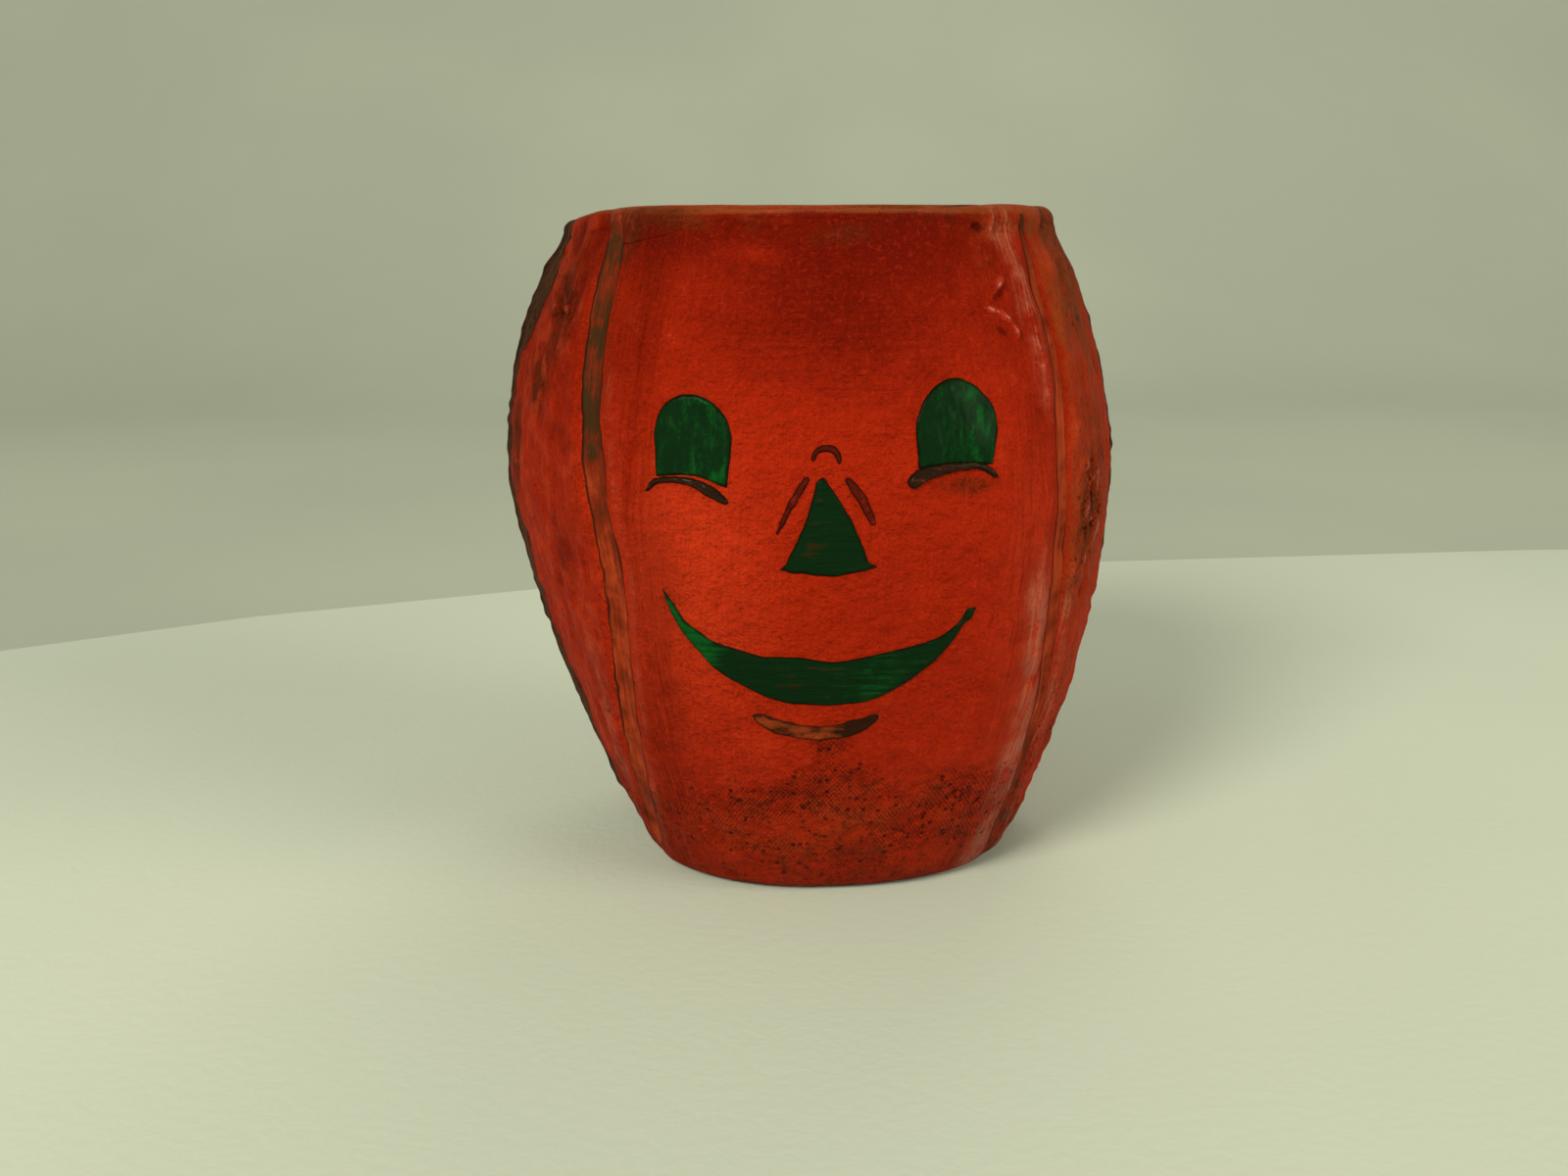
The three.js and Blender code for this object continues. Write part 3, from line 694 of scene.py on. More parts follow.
# %% Spots and lines of the painter's notes
# Strength, angle, height, half angle and half height, in degrees and millimetres
SPOTS = {
    "wash": (
        (0.5, -36, 64.5, 10, 2), (0.85, -63, 58, 11, 6.5), (0.9, -67, 49.5, 7, 3.4),
        (0.9, -82, 41, 5, 5.5), (0.6, 2, 63.6, 9, 1.3), (0.4, -18, 64.6, 5, 0.9),
        (0.8, 23, 42.6, 8, 1.1), (0.35, 0, 18.6, 5, 1.2), (0.5, 58, 38, 7, 7), (0.4, -54, 38, 5, 4),
    ),
    "tan": ((0.3, 34, 60, 8, 5), (0.5, -34, 64.8, 12, 1.2), (0.6, 44, 64.6, 12, 1.6)),
    # Dull: a duller, darker red, partly the paint and partly painted light and shade; the negative
    # spots are painted light on the left cheek, the left of the forehead and the rim's right corner
    "dull": (
        (0.6, 2, 58, 30, 9.5), (-0.45, -24, 34, 13, 12), (-0.4, -15, 62.3, 6, 0.9),
        (0.2, 0, 35, 14, 10), (0.25, 20, 34, 16, 12), (0.25, 16, 21, 20, 6),
        (0.45, -35.5, 46, 1, 14), (0.35, -32.8, 50, 0.7, 9), (-0.4, -33, 34, 9, 16),
        (-0.5, 44, 64, 12, 3),
    ),
    # Painted sheen at the top left corner of the rim
    "bloom": ((0.45, -50, 65.5, 7, 1.2),),
    "mottle": (
        (0.5, 31, 11, 12, 3), (0.4, -22, 11, 12, 3.5), (0.75, 23, 42.6, 8, 1.1),
        (0.5, 0, 18.6, 5, 1.2),
    ),
    "level_stroke": ((0.85, 0, 55, 28, 12),),
}
# Heights, and how far the olive line reaches from each joint's ridge, in millimetres
OLIVE_HEIGHTS = (0, 8, 16, 34, 38, 44, 51, 54, 57, 61, 65)
OLIVE_LEFT = (1.5, 2.8, 4.6, 4.6, 2.6, 1.6, 3.2, 5.6, 7.0, 7.6, 7.4)
OLIVE_LEFT_MARGIN = (-1, 0.8, 1.4, 1.6, 0.8, 0.5, 1.2, 2.6, 3.4, 3.4, 3.0)
OLIVE_RIGHT = (0.8, 0.8, 0.9, 1.0, 1.4, 1.8, 0.9, 0.5, 0.3, 0.3, 0.6)
print("spots:", {note: len(spots) for note, spots in SPOTS.items()})


# %% Notes for any point of the skin
def soft_spot(angle, z, degrees, height, half_angle, half_height):
    turned = angle - math.radians(degrees)
    turned = np.degrees(np.arctan2(np.sin(turned), np.cos(turned)))
    return np.exp(-((turned / half_angle) ** 2 + ((z - height) / half_height) ** 2))


def olive_line(angle, z, points):
    left = np.sin(angle) < 0
    left_reach, margin, right_reach = (
        np.interp(z, OLIVE_HEIGHTS, reach) for reach in (OLIVE_LEFT, OLIVE_LEFT_MARGIN, OLIVE_RIGHT)
    )
    ridge = np.abs(np.cos(angle)) * body_radius(angle, z) + 0.7 * pulp_noise(points + 9, 2.5)
    reach, margin = np.where(left, left_reach, right_reach), np.where(left, margin, -1)
    return ease(reach - ridge, -0.5, 0.5) * (1 - 0.35 * ease(margin - ridge, -0.4, 0.6))


def painters_notes(angle, z, points):
    offset, panel, foot = groove_offset(angle, z), panel_share(angle, z), foot_share(angle, z)
    left, front = np.sin(angle) < 0, np.cos(angle) > 0
    right, slow = ~left, pulp_noise(points + 40, 6)
    beside = ease(offset, 0.4, 1.8) * right

    def band(middle, width):
        """A band along each groove, its middle so many millimetres to the joint's side."""
        return np.exp(-(((offset - middle) / width) ** 2))

    notes = {
        note: sum(strength * soft_spot(angle, z, *spot) for strength, *spot in spots)
        for note, spots in SPOTS.items()
    }
    notes["wash"] += (
        0.3 * ease(z, 62, 65.5) * (0.9 + 0.7 * slow) + panel * left * (0.1 + 0.4 * slow)
        + 0.3 * band(0, 2) + 0.4 * band(-2.2, 0.7) * left * ease(z, 36, 56)
        + 0.4 * ease(z, 9, 1) + 0.25 * foot
    )
    # Tan: a pale wash, and along the top of the rim a painted highlight
    notes["tan"] += (
        beside * (0.55 + 0.35 * slow + 0.25 * ease(z, 46, 60)) * (0.5 + 0.5 * ease(z, 14, 30))
        + 0.9 * ease(z, 65.2, 65.8) + 0.4 * foot
    )
    # Dull: darker at the top of the face and on the back; the right panels and the face beside the
    # right groove are painted lighter where the lamps' light falls off
    notes["dull"] += (
        front * (0.4 * ease(z, 58, 64) + 0.3 * ease(z, 44, 58)) + ~front * (0.3 + 0.3 * slow)
        - 0.55 * band(-4, 3.5) * ease(z, 50, 36) * right * front
        - panel * (0.1 * left + 0.7 * right)
    )
    # Painted sheen: highlight streaks in bands beside the grooves
    notes["bloom"] += right * (
        0.95 * band(-3, 2) * ease(z, 42, 28) + 0.7 * band(-2.6, 1.8) * ease(z, 40, 58)
        + 0.5 * band(1.8, 1.4) * ease(z, 36, 28)
    ) + left * (0.35 * band(-2.4, 0.8) * ease(z, 56, 50) + 0.45 * band(4.5, 2.5) * ease(z, 32, 22))
    notes["mottle"] += (
        foot * (0.95 + 0.5 * slow) + beside * (0.5 + 0.5 * slow)
        + 0.35 * ease(z, 63, 65) * (1 + slow)
        + panel * left * (0.45 + 0.35 * ease(z, 50, 58)) * (0.8 + 0.8 * slow)
    )
    brushed = (0.9 - 0.2 * left) * band(-4.5, 2.6) * (0.5 + 0.5 * ease(z, 46, 34))
    calm = 1 - 0.8 * soft_spot(angle, z, 2, 59, 34, 9)
    # Hollow, lump and relief carry the shape to the finish, which paints shade in the hollows and
    # highlight on the hills and crests
    return {
        **notes, "brushed": 0.35 * panel + brushed, "olive": olive_line(angle, z, points),
        "hollow": bumps(angle, z, HOLLOWS), "lump": bumps(angle, z, HILLS),
        "relief": 4.5 * calm * small_relief(angle, z, points), "bare": np.zeros(angle.shape),
    }


def brush_map(angle, z):
    """A flat map of the skin: decimetres around, at a radius of 30 mm, and decimetres up."""
    angle, z = np.broadcast_arrays(angle, z)
    return np.stack([angle * 0.3, z / 100], axis=-1)


NOTE_NAMES = list(painters_notes(np.zeros(1), np.ones(1), np.zeros((1, 3))))
print("notes:", NOTE_NAMES)

# %% [markdown]
# ## The two half shells
# Each half was pressed in its own mould, so it is one wall with an outer face, a rounded
# lip, an inner face of bare pulp and a narrow foot. It is made as upright sections that
# run up the outside, over the lip and down the inside, one for every half of a degree
# or so. That is fine enough for the dents and grooves to be real shape.

# %% Build the half shells
COLUMNS = 330
FOOT_ROWS = 7
OUTER_ROWS = 215
LIP_ROWS = 9
INNER_ROWS = 44
SPLASH_HEIGHT = 61.5


def foot_inset(z):
    height = np.clip(1 - z / FOOT_ROUNDING, 0, 1)
    return FOOT_ROUNDING * (1 - np.sqrt(1 - height * height))


def over_the_lip(angle, turn):
    """The bare lip: turn goes from 0 at its outer side to pi at its inner side."""
    start = np.full_like(angle, RIM_CENTRE)
    outer, inner = skin(angle, start), inside_skin(angle, start)
    height = RIM_CENTRE + WALL / 2 * np.sin(turn) + 0 * angle
    dent = (marks(angle, height) - marks(angle, start)) * np.clip(np.cos(turn), 0, 1)
    return (outer + inner) / 2 + (outer - inner) / 2 * np.cos(turn) + dent, height


def wall_sections(angles):
    """Closed upright sections of the wall: up the outside, over the lip, down the inside."""
    rounding = FOOT_ROUNDING * (1 - np.cos(np.linspace(0, math.pi / 2, FOOT_ROWS)))
    upright = np.linspace(FOOT_ROUNDING, RIM_CENTRE, OUTER_ROWS - FOOT_ROWS + 1)[1:]
    rise = np.concatenate([rounding, upright])
    fall = np.linspace(RIM_CENTRE, 0, INNER_ROWS)
    turn = np.linspace(0, math.pi, LIP_ROWS + 2)[1:-1]
    a = angles[:, None]
    outside = skin(a, rise[None]) - foot_inset(rise[None])
    inside = inside_skin(a, fall[None])
    lip, lip_height = over_the_lip(a, turn[None])
    height = np.concatenate([rise[None] + 0 * a, lip_height, fall[None] + 0 * a], axis=1)
    radius = np.concatenate([outside, lip, inside], axis=1)
    return a + 0 * height, height, radius


def half_shell(name, front):
    start = -math.pi / 2 if front else math.pi / 2
    angle, height, radius = wall_sections(np.linspace(start, start + math.pi, COLUMNS))
    points = on_cup(angle, radius, height)
    points[0, :, 1] = points[-1, :, 1] = -JOINT_GAP / 2 if front else JOINT_GAP / 2
    notes = painters_notes(angle, height, points)
    within = np.arange(height.shape[1]) >= height.shape[1] - INNER_ROWS
    splash = SPLASH_HEIGHT + 2 * pulp_noise(points, 5)
    notes["bare"] = within * ease(splash - height, -0.6, 0.6)
    notes["olive"] = notes["olive"] * ~within
    return section_body(name, points, orange_paint, notes, brush_map(angle, height))


front_shell = half_shell("front_shell", True)
rear_shell = half_shell("rear_shell", False)
settle(front_shell, "painted_pulp", "front_half_shell")
settle(rear_shell, "painted_pulp", "rear_half_shell")

# %% [markdown]
# ## The base disc
# A cut disc of the same pulp closes the foot. It is seen from above, at the bottom of the
# hollow, and from below. Rings from the middle to the edge follow the inner wall, and the
# faces get the slight dishing of damp board that dried.

# %% Build the base disc
DISC_RINGS = 26
DISC_COLUMNS = 180
DISC_CLEARANCE = 0.12


def base_disc():
    angles = np.linspace(-math.pi, math.pi, DISC_COLUMNS, endpoint=False)[None]
    share = np.linspace(0.03, 1, DISC_RINGS)[:, None]
    reach = share * (inner_radius(angles, np.full_like(angles, BASE_THICKNESS)) - DISC_CLEARANCE)
    around = angles + 0 * share
    top = on_cup(around, reach, BASE_THICKNESS - 0.1 + 0 * around)
    grain = 0.09 * pulp_noise(top, 2.5) * (1 - share ** 6)
    top[..., 2] += 0.16 * (1 - share ** 2) + grain - 0.15 * (share > 0.99)
    low = on_cup(around, reach, 0 * around)
    low[..., 2] += (0.25 + 0.03 * pulp_noise(low, 2)) * (1 - share ** 4)
    rings = np.concatenate([low, top[::-1]])
    notes = dict.fromkeys(NOTE_NAMES, np.zeros(rings.shape[:2]))
    notes["bare"] = np.ones(rings.shape[:2])
    return section_body("foot_disc", rings, orange_paint, notes, rings[..., :2] / 100)


settle(base_disc(), "bare_pulp", "base_disc")

# %% [markdown]
# ## The paper strip over the rim
# Soaked paper was folded over the raw lip and smoothed down. On the front its edge hides
# just under the lip; at the left it dips into a visible crease. The strip is a thin skin
# with a meandering lower edge that fades into the paint, except where it creases.

# %% Build the rim strip
RIM_COLUMNS = 480
RIM_ROWS = 44
# Angle in degrees and height in millimetres of the strip's lower edge
CREASE = (
    (-180, 64.2), (-120, 63.9), (-90, 63.6), (-75, 63.7), (-60.9, 64.0), (-52.2, 64.3),
    (-44.7, 62.9), (-41.1, 63.2), (-35.8, 63.7), (-30.7, 64.4), (-23.6, 65.0), (-16, 65.2),
    (0, 65.15), (6.5, 64.9), (10.7, 64.8), (17.3, 65.1), (24, 65.2), (31, 65.0), (37, 63.9),
    (48, 63.6), (60, 63.9), (90, 63.7), (120, 64.1), (150, 63.8), (180, 64.2),
)


def rim_strip():
    angle = np.linspace(-math.pi, math.pi, RIM_COLUMNS, endpoint=False)[:, None]
    degrees, heights = np.array(CREASE).T
    at_lip = on_cup(angle, 23 + 0 * angle, 65 + 0 * angle)
    edge = np.interp(np.degrees(angle), degrees, heights) + 0.1 * pulp_noise(at_lip, 1.5)
    lip = WALL / 2
    rise = np.clip(RIM_CENTRE - edge, 0, None)
    first = np.arcsin(np.clip((edge - RIM_CENTRE) / lip, 0, 0.95))
    fall = 1.3 + 0.35 * pulp_noise(at_lip, 3)
    way = np.linspace(0, 1, RIM_ROWS)[None] * (rise + (math.pi - first) * lip + fall)
    turn = np.clip(first + (way - rise) / lip, first, math.pi)
    down = np.clip(way - rise - (math.pi - first) * lip, 0, None)
    height = np.where(way < rise, edge + way, RIM_CENTRE + lip * np.sin(turn) - down)
    over, _ = over_the_lip(angle, turn)
    below = way < rise
    radius = np.where(down > 0, inside_skin(angle, height), over)
    radius = np.where(below, skin(angle, height), radius)
    out, up = np.where(below, 1, np.cos(turn)), np.where(below, 0, np.sin(turn))
    start = 0.03 + 0.09 * soft_spot(angle, 64, -46, 64, 14, 9)
    side = ease(np.abs(np.sin(angle)), 0.8, 0.97)
    thick = (RIM_PAPER + PASTE - start) * ease(way, 0, 1.5 + 1.2 * side)
    thick = start + thick * ease(way[:, -1:] - way, -0.6, 0.7)
    raised = 0.3 * soft_spot(angle, 65, 46, 65, 12, 3) + 0.06 * pulp_noise(at_lip + 30, 4) - 0.06
    thick = thick + raised * np.clip(up, 0, 1) * ease(way, 0, 1.2)
    radius = there_and_back(radius + out * thick, radius + out * 0.01)
    height = there_and_back(height + up * thick, height + up * 0.01)
    angle = angle + 0 * radius
    points = on_cup(angle, radius, height)
    notes = painters_notes(angle, height, points)
    notes["bare"] = ease(there_and_back(down, down) + 0.5 * pulp_noise(points, 2), 1.0, 1.6)
    return section_body("rim_paper", points, orange_paint, notes, brush_map(angle, height), True)


rim = rim_strip()
settle(rim, "painted_paper", "rim_strip")

# %% [markdown]
# ## The paper strips over the joints
# A wrinkled strip hides each side joint. It was pinched along the ridge and painted with
# an olive-brown line, so from the front it draws the cup's dark, crumpled outline. Each
# strip is a band across the ridge, with a low crest, fine cross wrinkles and torn edges.

# %% Build the seam strips
STRIP_HALF_ANGLE = 6.0 / BELLY_HALF[0]
STRIP_ACROSS = 34
STRIP_ALONG = 330
STRIP_FOOT, STRIP_TOP = FOOT_ROUNDING + 0.3, 63.1


def seam_strip(name, side):
    across = np.linspace(-1, 1, STRIP_ACROSS)[None]
    z = np.linspace(STRIP_FOOT, STRIP_TOP, STRIP_ALONG)[:, None]
    wobble = 1 + 0.13 * pulp_noise(np.stack([z * 0, z * 0 + side * 9, z], -1), 2.3)
    angle = side * math.pi / 2 + across * STRIP_HALF_ANGLE * wobble
    z = z + 0 * angle
    base = skin(angle, z)
    points = on_cup(angle, base, z)
    crest = np.exp(-((across / 0.16) ** 2)) * (0.22 + 0.06 * pulp_noise(points * (1, 1, 1.2), 2.2))
    wrinkle = 0.09 * pulp_noise(points * (1, 0.6, 2.2), 1.7) + 0.05 * pulp_noise(points, 0.8)
    from_edge = 1 - np.abs(across)
    edge = ease(from_edge, 0, 0.35)
    ends = ease(z, STRIP_TOP, STRIP_TOP - 2.6) * ease(z, STRIP_FOOT, 5)
    torn = 0.2 * ends * ease(pulp_noise(points + 70, 4), 0.3, 0.7)
    torn = torn * (1 - edge) * ease(from_edge, 0, 0.06)
    top = base + 0.03 + ends * (edge * (0.28 + wrinkle) + crest) + torn
    height = there_and_back(z, z)
    radius = there_and_back(top, base - 0.08)
    angle = there_and_back(angle, angle)
    body = on_cup(angle, radius, height)
    notes = painters_notes(angle, height, body)
    # Painted shade in the troughs of the wrinkles
    notes["hollow"] = notes["hollow"] + 0.5 * np.tile(ease(-wrinkle, 0.06, 0.14), 2)
    notes["wash"] = notes["wash"] + 0.1
    return section_body(name, body, orange_paint, notes, brush_map(angle, height))


for label, side in (("left_seam_", -1), ("right_seam_", 1)):
    settle(seam_strip(label + "paper", side), "painted_paper", label + "strip")

# %% [markdown]
# ## Paint laid on the face
# Eyes, nose and mouth are thick poster paint: a film a fifth of a millimetre high with a
# rounded edge and the ridges of the brush. Each is drawn as an outline in front view, its
# edge roughened a little, filled with a triangle mesh, laid on the skin and thickened.
# Delaunay filling is used because it takes any outline and any points inside it.


# %% Lay a film of paint on the front of the cup
EDGE_ROUNDING = 0.3
FILM_DEPTH = 0.06


def angle_at(x, z):
    """The angle at which the front of the skin has this x."""
    angle = np.arcsin(np.clip(x / 28, -0.95, 0.95))
    for _ in range(8):
        angle = np.arcsin(np.clip(x / skin(angle, z), -0.98, 0.98))
    return angle


def spread(outline, step):
    """The same closed outline with its points a step apart."""
    outline = np.asarray(outline, float)
    closed = np.vstack([outline, outline[:1]])
    along = np.concatenate([[0], np.cumsum(np.linalg.norm(np.diff(closed, axis=0), axis=1))])
    at = np.linspace(0, along[-1], max(12, int(along[-1] / step)), endpoint=False)
    return np.stack([np.interp(at, along, closed[:, i]) for i in range(2)], -1)


def roughen(outline, amount, size):
    """Pushes an outline in and out along its normal, as an unsteady brush does."""
    ahead = np.roll(outline, -1, 0) - np.roll(outline, 1, 0)
    normal = ahead[:, ::-1] * (1, -1) / np.linalg.norm(ahead, axis=1, keepdims=True)
    place = np.stack([outline[:, 0], outline[:, 1] * 0 + 7, outline[:, 1]], -1)
    push = amount * (pulp_noise(place, size) + 0.6 * pulp_noise(place + 50, size / 3))
    return outline + normal * push[:, None]


def distance_inside(points, outline):
    """Distance to the outline, negative outside it."""
    start, end = outline, np.roll(outline, -1, 0)
    leg = end - start
    away = points[:, None] - start[None]
    share = np.clip((away * leg).sum(-1) / (leg * leg).sum(-1), 0, 1)
    distance = np.linalg.norm(away - share[..., None] * leg, axis=-1).min(1)
    above = (start[None, :, 1] > points[:, None, 1]) != (end[None, :, 1] > points[:, None, 1])
    with np.errstate(divide="ignore", invalid="ignore"):
        cross = away[..., 0] < leg[:, 0] * away[..., 1] / leg[:, 1]
    return np.where((above & cross).sum(1) % 2 == 1, distance, -distance)


def fill(outline, step):
    """Points and triangles, about a step wide, that fill an outline."""
    across, up = (np.arange(outline[:, i].min(), outline[:, i].max(), step) for i in range(2))
    grid = np.stack(np.meshgrid(across, up), -1).reshape(-1, 2)
    grid = grid + 0.2 * step * np.random.default_rng(5).uniform(-1, 1, grid.shape)
    grid = grid[distance_inside(grid, outline) > step * 0.55]
    flat = [Vector(p) for p in np.vstack([outline, grid])]
    found, _, triangles, *_ = delaunay_2d_cdt(flat, [], [list(range(len(outline)))], 1, 1e-5)
    return np.array([tuple(p) for p in found]), np.array([t for t in triangles if len(t) == 3])


def film_faces(top, triangles):
    """Faces of a film, whose lower points follow its upper ones, and of the wall around it."""
    a, b, c = (top[triangles[:, i]] for i in range(3))
    faces_out = np.cross(b - a, c - a)[:, 1] < 0
    triangles = np.where(faces_out[:, None], triangles, triangles[:, ::-1])
    legs = np.stack([triangles, np.roll(triangles, -1, 1)], -1).reshape(-1, 2)
    ends = np.sort(legs, axis=1)
    _, first, times = np.unique(ends, axis=0, return_index=True, return_counts=True)
    a, b = legs[first[times == 1]].T
    wall = np.stack([b, a, a + len(top), b + len(top)], -1)
    return triangles.tolist() + (triangles[:, ::-1] + len(top)).tolist() + wall.tolist()


def lay_film(name, outline, finish, thickness, step, rough, ridges):
    """Rough is the height and size of the edge's waves, ridges those of the brush's."""
    outline = roughen(spread(outline, step), *rough)
    flat, triangles = fill(outline, step)
    inside = np.clip(distance_inside(flat, outline), 0, None)
    x, z = flat.T
    angle = angle_at(x, z)
    base = skin(angle, z)
    ridge, stretch = ridges
    rounded = np.sqrt(1 - (1 - np.clip(inside / EDGE_ROUNDING, 0, 1)) ** 2)
    film = thickness * (0.3 + 0.7 * rounded)
    film = film + ridge * pulp_noise(on_cup(angle, base, z) * stretch, 0.55) * ease(inside, 0, 0.3)
    top = on_cup(angle, base + film, z)
    points = np.vstack([top, on_cup(angle, base - FILM_DEPTH, z)])
    notes = {"edge": inside, "height_note": film, "side": (x - x.min()) / np.ptp(x)}
    notes = {note: np.tile(values, 2) for note, values in notes.items()}
    faces, flat_map = film_faces(top, triangles), np.tile(flat / 100, (2, 1))
    return new_piece(name, points, faces, finish, notes, flat_map)


# %% [markdown]
# ## Green and brown poster paint
# The green is a dark bottle green brushed in one direction, so streaks of brown shine
# through, and it is almost black where it pooled at the edge. The brown of the lids and
# lines runs from near black to tan, and the top of each lid ridge gets a painted tan
# highlight. One function makes all of them, from a pair of colours, the direction of the
# brush and the width of the dark edge.


# %% Finish: poster paint
def poster_finish(name, colours, stretch, edge_width, streaks_from, tones, gloss=0.0, glint=None):
    material, sheet = start_finish(name)
    body, bright, streak, edge = colours
    note, rise, place, hairs = sheet.note, sheet.rise, sheet.place(), sheet.hairs(stretch)
    cloud = sheet.noise(place, 600, 6, 0.68) - 0.5
    fine = sheet.noise(place, 2600, 2, 0.5)
    tone = sheet.ramp(note("side"), tones)
    streaks = rise(cloud * 1.4 + hairs * 1.8 - tone * 0.25, streaks_from, streaks_from + 0.3)
    near_edge = 1 - rise(note("edge") + cloud * 0.5, 0.0, edge_width)
    coats = [
        (rise(tone + hairs * 2.4 + cloud * 1.2, 0.25, 1.05), bright),
        (streaks * 0.85, streak),
        (near_edge * 0.9, edge),
    ]
    if glint:
        shine = rise(note("height_note") * 1.2 + hairs * 2.2 + cloud * 2.4, 0.75, 1.1)
        coats.append((shine * 0.65, glint))
    height = hairs * 1.6 + cloud * 1.8 + fine * 0.3
    colour = sheet.layers(body, coats)
    close_finish(sheet, colour, fine * 0.25 + 0.35, height, 0.2, PAINT_SHINE, gloss)
    return material


# Each set of colours: the body, where it is brighter, the streaks and the edge
DARK_EDGE = paint(10, 12, 3)
GREENS = (paint(5, 34, 11), paint(6, 76, 26), paint(48, 26, 9), DARK_EDGE)
NOSE_GREENS = (GREENS[0], paint(2, 56, 16), *GREENS[2:])
LID_BROWNS = (paint(36, 18, 7), paint(104, 40, 18), paint(20, 9, 4), DARK_EDGE)
LINE_BROWNS = (paint(76, 16, 6), paint(124, 30, 10), paint(46, 12, 5), paint(26, 10, 4))
CHIN_BROWNS = (paint(44, 20, 8), paint(134, 52, 22), paint(52, 20, 8), paint(30, 16, 6))
# The tones run from left to right: pairs of a place, 0 to 1, and how bright it is
EYE_TONES = ((0.0, 0.2), (0.45, 0.3), (0.75, 0.5), (1.0, 0.3))
MOUTH_TONES = (
    (0.0, 1.0), (0.14, 0.8), (0.24, -0.1), (0.5, 0.1), (0.66, 0.4), (0.8, 0.3), (0.9, 0.1),
)
CHIN_TONES = ((0.0, 0.7), (0.3, 0.6), (0.6, 0.9), (0.75, 0.05), (1.0, 0.0))
LID_TONES = ((0.0, 0.35), (1.0, 0.15))
LID_GLINT = paint(176, 110, 76)
# Colours, stretch of the hairs, width of the edge, start of the streaks, tones and gloss
POSTER_PAINTS = {
    "eye_green": (GREENS, (130, 45, 1), 0.3, 0.2, EYE_TONES, 0.03),
    "nose_green": (NOSE_GREENS, (22, 190, 1), 0.28, 0.12, ((0.0, 0.1), (1.0, 0.1)), 0.03),
    "mouth_green": (GREENS, (18, 190, 1), 0.24, 0.1, MOUTH_TONES, 0.03),
    "lid_brown": (LID_BROWNS, (60, 160, 1), 0.14, 0.16, LID_TONES, 0.1, LID_GLINT),
    "line_brown": (LINE_BROWNS, (90, 90, 1), 0.24, 0.26, ((0.0, 0.4), (1.0, 0.4))),
    "chin_brown": (CHIN_BROWNS, (40, 120, 1), 0.34, 0.24, CHIN_TONES),
}
POSTER = {name: poster_finish(name, *values) for name, values in POSTER_PAINTS.items()}
print("poster finishes:", len(POSTER))


# %% Outlines of the face
def bezier(start, first, second, end, count=14):
    t = np.linspace(0, 1, count, endpoint=False)[:, None]
    s = 1 - t
    start, first, second, end = (np.array(p, float) for p in (start, first, second, end))
    return start * s ** 3 + 3 * first * t * s * s + 3 * second * t * t * s + end * t ** 3


def through(points, count=40):
    """A smooth open curve through the points, evenly divided by point."""
    points = np.array(points, float)
    padded = np.vstack([2 * points[0] - points[1], points, 2 * points[-1] - points[-2]])
    at = np.linspace(0, len(points) - 1, count)
    i = np.minimum(at.astype(int), len(points) - 2)
    t = (at - i)[:, None]
    a, b, c, d = padded[i], padded[i + 1], padded[i + 2], padded[i + 3]
    square, cube = 2 * a - 5 * b + 4 * c - d, 3 * b - a - 3 * c + d
    return 0.5 * (2 * b + (c - a) * t + square * t ** 2 + cube * t ** 3)


def stroke(points, widths, count=44):
    """The outline of a brush stroke with a width at each of its points."""
    line = through(points, count)
    ahead = np.gradient(line, axis=0)
    normal = ahead[:, ::-1] * (-1, 1) / np.linalg.norm(ahead, axis=1, keepdims=True)
    width = np.interp(np.linspace(0, 1, count), np.linspace(0, 1, len(widths)), widths)[:, None]
    ends = np.sqrt(np.clip(1 - np.linspace(-1, 1, count) ** 14, 0.02, 1))[:, None]
    half = normal * width * ends / 2
    return np.vstack([line - half, (line + half)[::-1]])


def eye_outline(foot_left, foot_middle, foot_right, right, top, left, top_handle, side_handle):
    """A flat foot and two round sides: a handle of a curve is the pull at its end."""
    foot = bezier(foot_left, foot_middle, foot_middle, foot_right)
    above, aside = np.array((0, side_handle)), np.array((top_handle, 0))
    right_side = bezier(right, right + above, top + aside, top, 24)
    left_side = bezier(top, top - aside, left + above, left, 24)
    return np.vstack([foot, [foot_right], right_side, left_side, [left]])


LEFT_EYE = eye_outline(
    (-15.3, 43.4), (-12.15, 43.75), (-9.25, 42.6), (-8.8, 46.7), (-12.3, 50.4), (-15.5, 46.7), 2, 2
)
RIGHT_EYE = eye_outline(
    (7.25, 44.2), (10.75, 44.6), (14, 44.2), (14.45, 47.3), (10.4, 51.7), (7.05, 47.3), 1.6, 2.6
)
NOSE = np.vstack([
    [(-4.8, 35.55), (-4.4, 35.45)],
    bezier((-3.6, 35.2), (-2.4, 35.35), (-2.2, 34.95), (-1.0, 35.0)),
    bezier((-1.0, 35.0), (0.6, 34.75), (1.6, 35.35), (2.9, 35.45)),
    [(3.75, 35.75), (3.0, 36.1)],
    bezier((2.85, 36.3), (2.4, 38.2), (1.2, 40.4), (-0.6, 43.1)),
    bezier((-0.6, 43.1), (-0.9, 43.8), (-1.3, 43.8), (-1.65, 43.1)),
    bezier((-1.65, 43.1), (-2.2, 40.6), (-2.9, 38.6), (-4.1, 36.6)),
    [(-4.25, 36.0)],
])
MOUTH_UPPER = (
    (-15, 33.2), (-14.2, 32.1), (-13.1, 30.4), (-11.6, 29.2), (-10.6, 28.5), (-8.6, 27.9),
    (-6.3, 27.3), (-3, 27.2), (0, 26.8), (3.4, 27.3), (6.9, 28), (9.3, 28.7), (11.2, 29.9),
    (12.1, 31.3),
)
